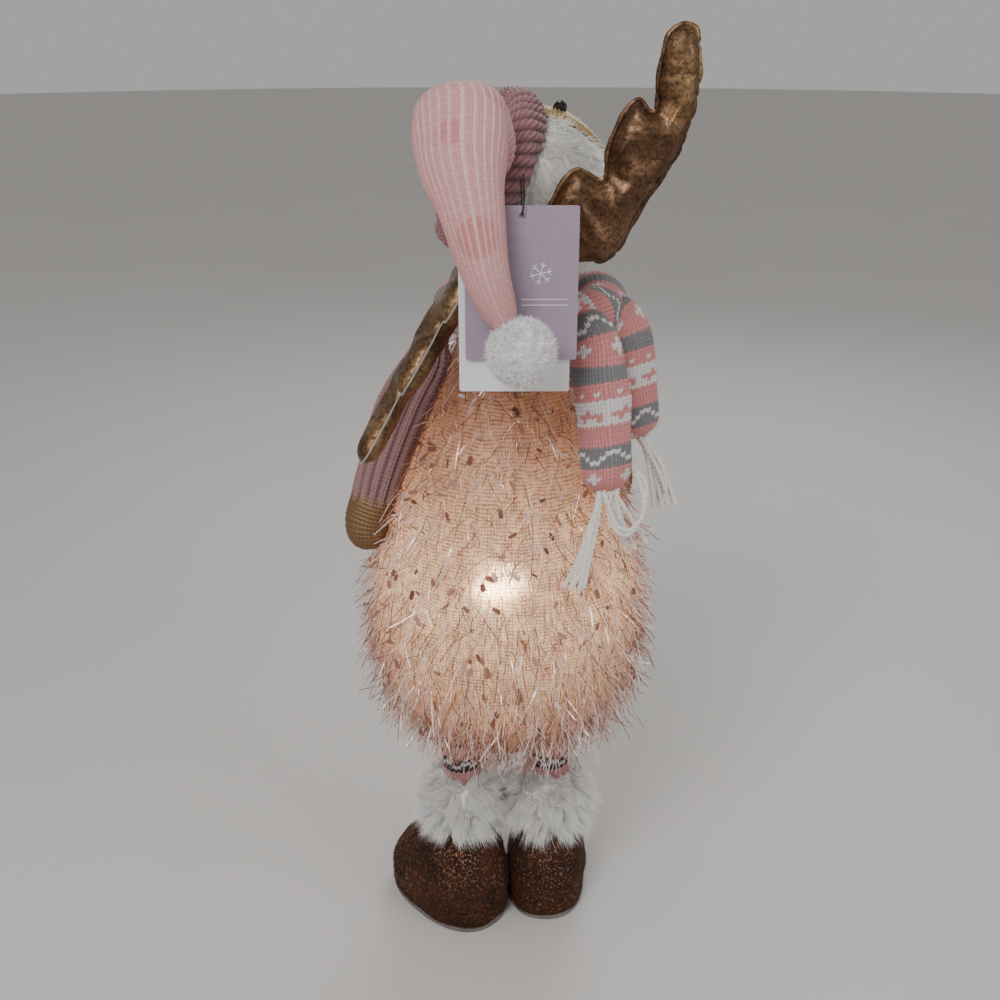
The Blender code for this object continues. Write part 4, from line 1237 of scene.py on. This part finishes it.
def make_pompom():
    axes = (X, np.array((0.0, 1.0, 0.0)), UP)
    ball = sphere_surface(POMPOM, (POMPOM_RADIUS,) * 3, axes)
    core = skin("pompom_core", ball, 60, 72, MATERIALS["fur_skin"], lump=(0.008, 0.0006, 61))
    place(core, "hat_tail", ["pompom"], "pompom", fill=0.9)
    rng = np.random.default_rng(62)
    count = 22000
    roots, normals = scatter(ball, count, 63)
    ways = unit(normals * 0.6 + rng.normal(size=(count, 3)) * 0.8)
    lengths = rng.uniform(0.0008, 0.0026, count)
    fluff = strands(
        "pompom_fluff", roots, ways, lengths, 0.00036, MATERIALS["pompom"], steps=2, curl=0.7, seed=64
    )
    place(fluff, "hat_tail", slot="pompom")


# Antlers

# Flat on: along its length, and across it towards the tines
ANTLER = (
    (0.0000, 0.0065),
    (0.0101, 0.0084),
    (0.0192, 0.0140),
    (0.0311, 0.0158),
    (0.0431, 0.0149),
    (0.0513, 0.0102),
    (0.0522, -0.0028),
    (0.0623, 0.0009),
    (0.0742, 0.0037),
    (0.0870, 0.0037),
    (0.0962, 0.0000),
    (0.0939, -0.0102),
    (0.1044, -0.0047),
    (0.1163, 0.0000),
    (0.1273, 0.0028),
    (0.1365, -0.0009),
    (0.1383, -0.0093),
    (0.1301, -0.0177),
    (0.1172, -0.0251),
    (0.1044, -0.0298),
    (0.0861, -0.0335),
    (0.0705, -0.0335),
    (0.0458, -0.0316),
    (0.0266, -0.0316),
    (0.0137, -0.0270),
    (0.0101, -0.0177),
    (0.0027, -0.0102),
    (-0.0018, -0.0019),
)


def antler_outline():
    """The outline as a smooth closed loop with a point about every 2 mm."""
    keys = np.array(ANTLER + ANTLER[:1])
    count = len(keys) - 1
    loop = []
    for index in range(count):
        before, here = keys[(index - 1) % count], keys[index]
        there, beyond = keys[(index + 1) % count], keys[(index + 2) % count]
        for part in (0.0, 0.2, 0.4, 0.6, 0.8):
            square = 2 * before - 5 * here + 4 * there - beyond
            cube = 3 * here - before - 3 * there + beyond
            loop.append(0.5 * (2 * here + (there - before) * part + square * part**2 + cube * part**3))
    loop = np.array(loop)
    length = np.concatenate(
        [[0], np.cumsum(np.linalg.norm(np.diff(loop, axis=0, append=loop[:1]), axis=1))]
    )
    wanted = np.linspace(0, length[-1], 160, endpoint=False)
    closed = np.concatenate([loop, loop[:1]])
    return np.stack([np.interp(wanted, length, closed[:, axis]) for axis in (0, 1)], axis=1)


def flat_mesh(outline, spacing):
    """Points and triangles that fill the outline evenly. The outline's points come first."""
    inside = []
    low, high = outline.min(axis=0), outline.max(axis=0)
    rows = int((high[1] - low[1]) / (spacing * 0.866)) + 1
    for row in range(rows):
        y = low[1] + row * spacing * 0.866
        for x in np.arange(low[0] + (row % 2) * spacing / 2, high[0], spacing):
            inside.append((x, y))
    inside = np.array(inside)
    ahead = np.roll(outline, -1, axis=0)
    crossed = np.zeros(len(inside), bool)
    for (x0, y0), (x1, y1) in zip(outline, ahead):
        spans = (y0 > inside[:, 1]) != (y1 > inside[:, 1])
        crossed ^= spans & (inside[:, 0] < (x1 - x0) * (inside[:, 1] - y0) / (y1 - y0 + 1e-15) + x0)
    gap = np.sqrt(((inside[:, None, :] - outline[None]) ** 2).sum(axis=-1)).min(axis=1)
    inside = inside[crossed & (gap > spacing * 0.55)]
    points = np.concatenate([outline, inside])
    edges = [(i, (i + 1) % len(outline)) for i in range(len(outline))]
    flat = geometry.delaunay_2d_cdt([Vector(p) for p in points], edges, [], 1, 1e-7)
    return points, np.array([list(face) for face in flat[2] if len(face) == 3])


def make_antler(side, root, along, tines, seed):
    along = unit(along)
    tines = np.asarray(tines, float)
    tines = unit(tines - along * (tines @ along))
    flat = np.cross(along, tines)
    outline = antler_outline() * (1.02, 1.0)
    ahead = np.roll(outline, -1, axis=0) - np.roll(outline, 1, axis=0)
    inward = np.stack([-ahead[:, 1], ahead[:, 0]], axis=1)
    inward = inward / np.linalg.norm(inward, axis=1, keepdims=True)
    area = np.sum(outline[:, 0] * np.roll(outline[:, 1], -1) - np.roll(outline[:, 0], -1) * outline[:, 1])
    outline = outline + inward * math.copysign(0.0013, area)
    points, triangles = flat_mesh(outline, 0.0028)
    rim = len(outline)
    gap = np.sqrt(((points[:, None, :] - outline[None]) ** 2).sum(axis=-1)).min(axis=1)
    puff = 0.0078 * (1 - np.exp(-gap / 0.0045))
    body = root + points[:, :1] * along + points[:, 1:] * tines
    upper, lower = body + flat * puff[:, None], body[rim:] - flat * puff[rim:, None]
    mirrored = np.where(triangles < rim, triangles, triangles + len(points) - rim)[:, ::-1]
    solid = new_piece(
        f"antler_{side}_foil",
        np.concatenate([upper, lower]),
        np.concatenate([triangles, mirrored]),
        MATERIALS["foil"],
    )
    pinned = np.zeros(len(upper) + len(lower))
    pinned[:rim] = 0.8
    inflate(solid, 4.0, 22, 0.05, pinned, most=0.006)
    smoother = solid.modifiers.new("smooth", "SUBSURF")
    smoother.levels = smoother.render_levels = 1
    place(solid, f"antler_{side}", [f"antler_{side}"], "antler_foil", fill=0.9)

    shaped = np.array([point.co for point in solid.data.vertices], float)[:rim] - SHIFT
    ahead = unit(np.roll(shaped, -1, axis=0) - np.roll(shaped, 1, axis=0))
    out = unit(np.cross(ahead, flat))
    out = out * np.sign(np.sum(out * (shaped - shaped.mean(axis=0))))
    rng = np.random.default_rng(seed)
    reach = (
        0.0005 if side == "left" else 0.0011
    ) + 0.0004 * np.sin(np.arange(rim) * 0.7) + rng.uniform(-0.00015, 0.00015, rim)
    layers = []
    for lift, inset in ((0.00040, -0.0010), (0.00050, 1.0), (-0.00050, 1.0), (-0.00040, -0.0010)):
        edge = shaped + flat * lift
        layers.append(edge + out * (inset if inset < 0 else reach[:, None]))
    index = np.arange(rim)
    after = (index + 1) % rim
    band = [
        np.stack(
            [first * rim + index, first * rim + after, second * rim + after, second * rim + index], axis=1
        )
        for first, second in ((0, 1), (1, 2), (2, 3))
    ]
    cloth = MATERIALS["felt" if side == "left" else "foil"]
    seam = new_piece(
        f"antler_{side}_seam", np.concatenate(layers), np.concatenate(band), cloth, smooth=False
    )
    place(seam, f"antler_{side}", slot="antler_foil")


# Tags


def rounded_card(name, left, bottom, right, top, near, thick, corner, material, hole=0.0016):
    """A card that faces -Y, with rounded corners and a hole for the string."""
    curve = bpy.data.curves.new(name, "CURVE")
    curve.dimensions = "2D"
    curve.fill_mode = "BOTH"
    curve.extrude = thick / 2 - 0.00008
    curve.bevel_depth = 0.00008
    corners = ((right, bottom, -90), (right, top, 0), (left, top, 90), (left, bottom, 180))
    outline = []
    for x, z, start in corners:
        centre = (
            x - math.copysign(corner, x - (left + right) / 2),
            z - math.copysign(corner, z - (bottom + top) / 2),
        )
        for step in range(5):
            turn = math.radians(start + step * 22.5)
            outline.append((centre[0] + corner * math.cos(turn), centre[1] + corner * math.sin(turn)))
    ring = [
        (TAG_X + hole * math.cos(-a), TAG_HOLE_HEIGHT + hole * math.sin(-a)) for a in np.linspace(
            0, math.tau, 24, endpoint=False
        )
    ]
    for run in (outline, ring):
        line = curve.splines.new("POLY")
        line.points.add(len(run) - 1)
        for point, (x, z) in zip(line.points, run):
            point.co = (x + SHIFT[0], z, 0.0, 1.0)
        line.use_cyclic_u = True
    curve.materials.append(material)
    made = bpy.data.objects.new(name, curve)
    made.rotation_euler = (math.radians(90), 0, 0)
    made.location = (0, near + thick / 2 + SHIFT[1], 0)
    bpy.context.collection.objects.link(made)
    return made


def make_tags():
    left = TAG_X - 0.0295
    front = rounded_card(
        "tag_front_card",
        left,
        0.4340,
        left + 0.059,
        0.5148,
        -0.0928,
        0.0006,
        0.0012,
        MATERIALS["mauve_card"],
    )
    place(front, "tags", ["swing_tag"], "mauve_card")
    back = rounded_card(
        "tag_back_card",
        left - 0.0035,
        0.4155,
        left + 0.0555,
        0.5135,
        -0.0898,
        0.0006,
        0.0012,
        MATERIALS["white_card"],
    )
    place(back, "tags", ["back_tag"], "white_card")

    near = -0.09295
    centre = np.array((TAG_X + 0.010, near, 0.4800))
    runs = []
    for arm in range(6):
        turn = math.radians(60 * arm + 15)
        way = np.array((math.cos(turn), 0, math.sin(turn)))
        runs.append([centre, centre + way * 0.0062])
        for lean in (-0.8, 0.8):
            side = np.array((math.cos(turn + lean), 0, math.sin(turn + lean)))
            runs.append([centre + way * 0.0037, centre + way * 0.0037 + side * 0.0022])
    for height in (0.4665, 0.4635):
        runs.append([centre * (1, 1, 0) + (-0.010, 0, height), centre * (1, 1, 0) + (0.014, 0, height)])
    print_piece = curve_piece("tag_print", runs, 0.00030, MATERIALS["ink"], sides=1)
    place(print_piece, "tags", slot="mauve_card")

    knots = (
        (0.0000, -0.0625, 0.5240),
        (0.0000, -0.0700, 0.5195),
        (0.0000, -0.0790, 0.5130),
        (0.0000, -0.0870, 0.5103),
        (0.0000, -0.0935, 0.5100),
        (0.0002, -0.0956, 0.5116),
        (0.0006, -0.0954, 0.5150),
        (0.0010, -0.0935, 0.5182),
        (0.0012, -0.0870, 0.5198),
        (0.0012, -0.0760, 0.5212),
        (0.0012, -0.0680, 0.5240),
        (0.0012, -0.0640, 0.5262),
    )
    route = spline([(TAG_X + x, y, z) for x, y, z in knots], np.linspace(0, 1, 60))
    string = curve_piece("tag_cord", [route], 0.00045, MATERIALS["string"])
    place(string, "tags", ["tag_string"], "string")


# Arms


def beside_body(angle, height, clearance):
    heights, radii = zip(*BODY_PROFILE)
    reach = np.interp(height, heights, radii) + clearance
    return np.array((BODY_X + reach * math.cos(angle), reach * math.sin(angle), height))


def make_arm(side, degrees):
    angle = math.radians(degrees)
    keys = []
    for height, radius in (
        (0.4260, 0.0050),
        (0.4190, 0.0100),
        (0.4080, 0.0128),
        (0.3900, 0.0150),
        (0.3700, 0.0152),
        (0.3450, 0.0142),
        (0.3215, 0.0130),
    ):
        centre = beside_body(angle, min(height, 0.4100), radius + 0.0015)
        keys.append((centre[0], centre[1], height, radius, radius))
    tangent = np.array((-math.sin(angle), math.cos(angle), 0))
    sleeve = knit(
        f"arm_{side}_knit",
        tube_surface(keys, tangent),
        (28, 44),
        0.0013,
        one_colour(MAUVE),
        MATERIALS["wool"],
        fine=(6, 6),
        rib=0.0018,
        every=2,
        slant=0.2,
        lump=0.0008,
    )
    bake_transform(sleeve)
    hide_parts(f"arm_{side}")

    keys = []
    for height, radius in (
        (0.3290, 0.0080),
        (0.3262, 0.0122),
        (0.3180, 0.0133),
        (0.3080, 0.0131),
        (0.2990, 0.0114),
        (0.2935, 0.0070),
        (0.2916, 0.0006),
    ):
        centre = beside_body(angle, max(height, 0.3070), 0.0130 + 0.0015)
        keys.append((centre[0], centre[1], height, radius, radius))
    hoof = knit(
        f"hoof_{side}_knit",
        tube_surface(keys, tangent),
        (34, 15),
        0.0015,
        one_colour(HOOF),
        MATERIALS["gold_wool"],
        fine=(5, 7),
        slant=0.0,
        lump=0.0004,
    )
    place(hoof, f"arm_{side}", [f"hoof_{side}"], "hoof_knit", fill=0.8)


# Scarf


def scarf_colours(column, row, points):
    """Bands of pink, white and grey with small motifs."""
    band = row % 30
    step = column % 6
    made = np.broadcast_to(np.array(SALMON), (*column.shape, 3)).copy()
    grey = (band < 4) | ((band >= 19) & (band < 24))
    white = (band >= 8) & (band < 14)
    made[grey] = SCARF_GREY
    made[white] = SCARF_WHITE
    zigzag = (band >= 20) & (band < 23) & (band - 20 == np.array((0, 1, 2, 2, 1, 0))[step])
    dots = ((band == 6) & (step % 3 == 1)) | (
        (band >= 25) & (band <= 27) & (np.abs(step - 3) + np.abs(band - 26) < 2)
    )
    motif = white & (
        ((band == 11) & (step % 6 != 0)) | ((band == 12) & (step % 3 == 1)) | ((band == 10) & (step == 3))
    )
    made[zigzag | dots] = SCARF_WHITE
    made[motif] = SALMON
    return made


def make_scarf():
    def wrap(u, v):
        section, turn = math.tau * u, math.tau * v
        fold = 1 + 0.05 * np.sin(3 * turn + 1.0) + 0.03 * np.sin(7 * turn)
        radius = 0.0420 + 0.0158 * fold * np.cos(section)
        height = SCARF[2] + 0.0138 * fold * np.sin(section) + 0.0008 * np.sin(2 * turn)
        return np.stack(
            [SCARF[0] + radius * np.cos(turn), SCARF[1] + radius * np.sin(turn), height], axis=-1
        )

    loop = knit(
        "scarf_wrap_knit",
        wrap,
        (36, 120),
        0.0010,
        scarf_colours,
        MATERIALS["wool"],
        fine=(5, 4),
        ring=True,
        lump=0.0008,
    )
    place(loop, "stand", ["scarf_wrap"], "scarf_knit", fill=0.5)
    tails = (
        (
            1,
            (
                (0.0430, -0.0370, 0.4450, 0.0060, 0.0040),
                (0.0490, -0.0460, 0.4410, 0.0120, 0.0080),
                (0.0545, -0.0530, 0.4290, 0.0146, 0.0084),
                (0.0560, -0.0560, 0.4130, 0.0158, 0.0080),
                (0.0585, -0.0590, 0.3950, 0.0158, 0.0078),
                (0.0612, -0.0628, 0.3680, 0.0154, 0.0076),
                (0.0620, -0.0638, 0.3550, 0.0138, 0.0066),
                (0.0622, -0.0640, 0.3480, 0.0070, 0.0034),
            ),
            (0.93, 0.37, 0),
            (25, 45),
        ),
        (
            2,
            (
                (0.0600, -0.0110, 0.4450, 0.0060, 0.0040),
                (0.0680, -0.0130, 0.4420, 0.0110, 0.0078),
                (0.0750, -0.0148, 0.4320, 0.0138, 0.0082),
                (0.0780, -0.0160, 0.4170, 0.0148, 0.0078),
                (0.0805, -0.0175, 0.3980, 0.0148, 0.0076),
                (0.0833, -0.0198, 0.3790, 0.0140, 0.0070),
                (0.0842, -0.0204, 0.3710, 0.0122, 0.0060),
                (0.0845, -0.0205, 0.3660, 0.0065, 0.0032),
            ),
            (0.80, 0.60, 0),
            (24, 38),
        ),
    )
    for number, keys, side, stitches in tails:
        first = 29 - stitches[1] + 1 - (3 if number == 2 else 0)

        def bands(column, row, points, first=first):
            return scarf_colours(column, row + first, points)

        tail = knit(
            f"scarf_tail_{number}_knit",
            tube_surface(keys, unit(side), 2.4),
            stitches,
            0.0010,
            bands,
            MATERIALS["wool"],
            fine=(6, 5),
            lump=0.0010,
        )
        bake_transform(tail)
        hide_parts(f"scarf_tail_{number}")


def yarn_plies(route, radius, turns):
    """Two plies twisted round a route."""
    share = np.linspace(0, 1, len(route))
    along = unit(np.gradient(route, axis=0))
    first = unit(np.cross(along, (0.31, 0.77, 0.2)))
    second = np.cross(along, first)
    runs = []
    for phase in (0, math.pi):
        angle = math.tau * turns * share + phase
        runs.append(
            route + (first * np.cos(angle)[:, None] + second * np.sin(angle)[:, None]) * radius * 0.62
        )
    return runs


def make_tassel(number, top, spread_way, routes, seed):
    rng = np.random.default_rng(seed)
    runs = []
    for route in routes:
        start = np.array(top) + np.array(spread_way) * rng.uniform(-1, 1) + rng.normal(size=3) * 0.0006
        knots = [start] + [np.array(knot) + rng.normal(size=3) * 0.0007 for knot in route]
        smooth = spline(knots, np.linspace(0, 1, 60))
        runs += yarn_plies(smooth, 0.00125, length_of(knots) / 0.0052)
    tassel = curve_piece(f"tassel_{number}_yarn", runs, 0.00095, MATERIALS["yarn"], sides=1)
    place(tassel, f"scarf_end_{number}", [f"tassel_{number}"], "yarn")


def make_tassels():
    rng = np.random.default_rng(81)
    routes = []
    for tip in (
        (0.0365, -0.0930, 0.2980),
        (0.0405, -0.0930, 0.2955),
        (0.0450, -0.0925, 0.2950),
        (0.0490, -0.0915, 0.2985),
        (0.0430, -0.0915, 0.3010),
    ):
        tip = np.array(tip)
        routes.append(((0.0560, -0.0725, 0.3385), tip * 0.5 + np.array((0.0262, -0.0400, 0.1610)), tip))
    for reach in (0.0, 0.0022):
        routes.append(
            (
                (0.0630, -0.0735, 0.3400 - reach),
                (0.0680, -0.0790, 0.3300 - reach),
                (0.0760, -0.0780, 0.3275 - reach),
                (0.0830, -0.0710, 0.3360),
                (0.0835 + reach, -0.0630, 0.3500),
                (0.0790, -0.0580, 0.3560),
            )
        )
    for _ in range(6):
        tip = np.array(
            (0.0790, -0.0690, 0.3130)
        ) + np.array((0.014, 0.006, 0.0)) * rng.uniform(-1, 1) + rng.normal(size=3) * 0.002
        routes.append((tip * 0.45 + np.array((0.0341, -0.0360, 0.1920)), tip))
    make_tassel(1, (0.0620, -0.0645, 0.3520), (0.0060, 0.0024, 0.0), routes, 82)
    routes = []
    for _ in range(12):
        tip = np.array(
            (0.1040, -0.0250, 0.3215)
        ) + np.array((0.0085, 0.0020, 0.0)) * rng.uniform(-1, 1) + rng.normal(size=3) * 0.002
        routes.append((tip * 0.5 + np.array((0.0455, -0.0120, 0.1830)) + rng.normal(size=3) * 0.0015, tip))
    make_tassel(2, (0.0850, -0.0208, 0.3690), (0.0050, 0.0035, 0.0), routes, 83)


# Everything else


def dress_hard_parts():
    """Better materials on the CAD parts that stay as they are."""
    slots = {
        "plastic": (
            "base_plate",
            "battery_case",
            "battery_door",
            "switch_body",
            "led_stem",
            "led_holder",
            "neck_plate",
        ),
        "steel": (
            "foot_plate_left",
            "foot_plate_right",
            "leg_rod_left",
            "leg_rod_right",
            "contact_strip_back",
            "contact_strip_front",
            "door_screw",
        ),
        "knob": ("switch_knob",),
        "lead": ("led_lead",),
        "lamp": ("led_lamp",),
        "cell": ("battery_cell_1", "battery_cell_2"),
        "wire": tuple(f"frame_rib_{n}" for n in range(1, 5)) + tuple(
            f"frame_hoop_{n}" for n in ("low", "middle", "high")
        ),
    }
    for key, names in slots.items():
        for name in names:
            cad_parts[name].data.materials.clear()
            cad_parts[name].data.materials.append(MATERIALS[key])
    for name in ("led_lamp", *slots["wire"]):
        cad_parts[name].visible_shadow = False


def make_stage():
    floor_cloth = Shader("pale_floor", 0.8)
    tone = floor_cloth.noise(3.0, 3.0)
    floor_cloth.base(floor_cloth.ramp(tone, (0.3, (0.60, 0.58, 0.56)), (0.7, (0.62, 0.60, 0.58))))
    ring = [
        (9 * math.cos(a), 9 * math.sin(a), -0.0004) for a in np.linspace(0, math.tau, 64, endpoint=False)
    ]
    mesh = bpy.data.meshes.new("floor")
    mesh.from_pydata(ring, [], [tuple(range(64))])
    mesh.materials.append(floor_cloth.made)
    floor = bpy.data.objects.new("floor", mesh)
    bpy.context.collection.objects.link(floor)

    world = bpy.data.worlds.new("studio")
    world.use_nodes = True
    world.node_tree.nodes["Background"].inputs["Color"].default_value = (0.60, 0.59, 0.58, 1.0)
    world.node_tree.nodes["Background"].inputs["Strength"].default_value = 0.72
    bpy.context.scene.world = world
    for name, where, aim, size, power in (
        ("key", (-0.45, -1.15, 1.35), (0.0, 0.0, 0.35), 0.6, 15.0),
        ("fill", (1.2, -0.8, 0.9), (0.0, 0.0, 0.30), 0.9, 5.5),
        ("rim", (0.3, 1.2, 1.2), (0.0, 0.0, 0.40), 0.7, 7.0),
    ):
        light = bpy.data.lights.new(name, "AREA")
        light.size = size
        light.energy = power
        lamp = bpy.data.objects.new(name, light)
        lamp.location = where
        lamp.rotation_euler = (Vector(aim) - Vector(where)).to_track_quat("-Z", "Y").to_euler()
        bpy.context.collection.objects.link(lamp)
    glow = bpy.data.lights.new("lamp_glow", "POINT")
    glow.energy = 1.15
    glow.color = (1.0, 0.76, 0.50)
    glow.shadow_soft_size = 0.0068
    bulb = bpy.data.objects.new("lamp_glow", glow)
    bulb.location = LAMP + SHIFT + (-0.003, 0, -0.007)
    bpy.context.collection.objects.link(bulb)

    camera = bpy.data.cameras.new("camera")
    camera.lens = 43.2
    camera.sensor_width = 36.0
    view = bpy.data.objects.new("camera", camera)
    view.location = (-0.0100, -0.6880, 0.6110)
    view.rotation_euler = (math.radians(67.4), 0, 0)
    bpy.context.collection.objects.link(view)
    bpy.context.scene.camera = view


def main():
    make_stage()
    dress_hard_parts()
    make_body()
    for side in ("left", "right"):
        make_boot(side)
        make_leg(side)
    make_head()
    make_cap()
    make_antler("right", np.array((0.0264, -0.0560, 0.4783)), (0.466, 0.0, 0.886), (-0.886, 0.0, 0.466), 71)
    make_antler(
        "left", np.array((-0.0045, -0.0620, 0.4925)), (-0.500, -0.300, -0.810), (0.160, -0.950, 0.250), 72
    )
    make_tags()
    make_arm("left", 193)
    make_arm("right", 36)
    make_scarf()
    make_tassels()


main()
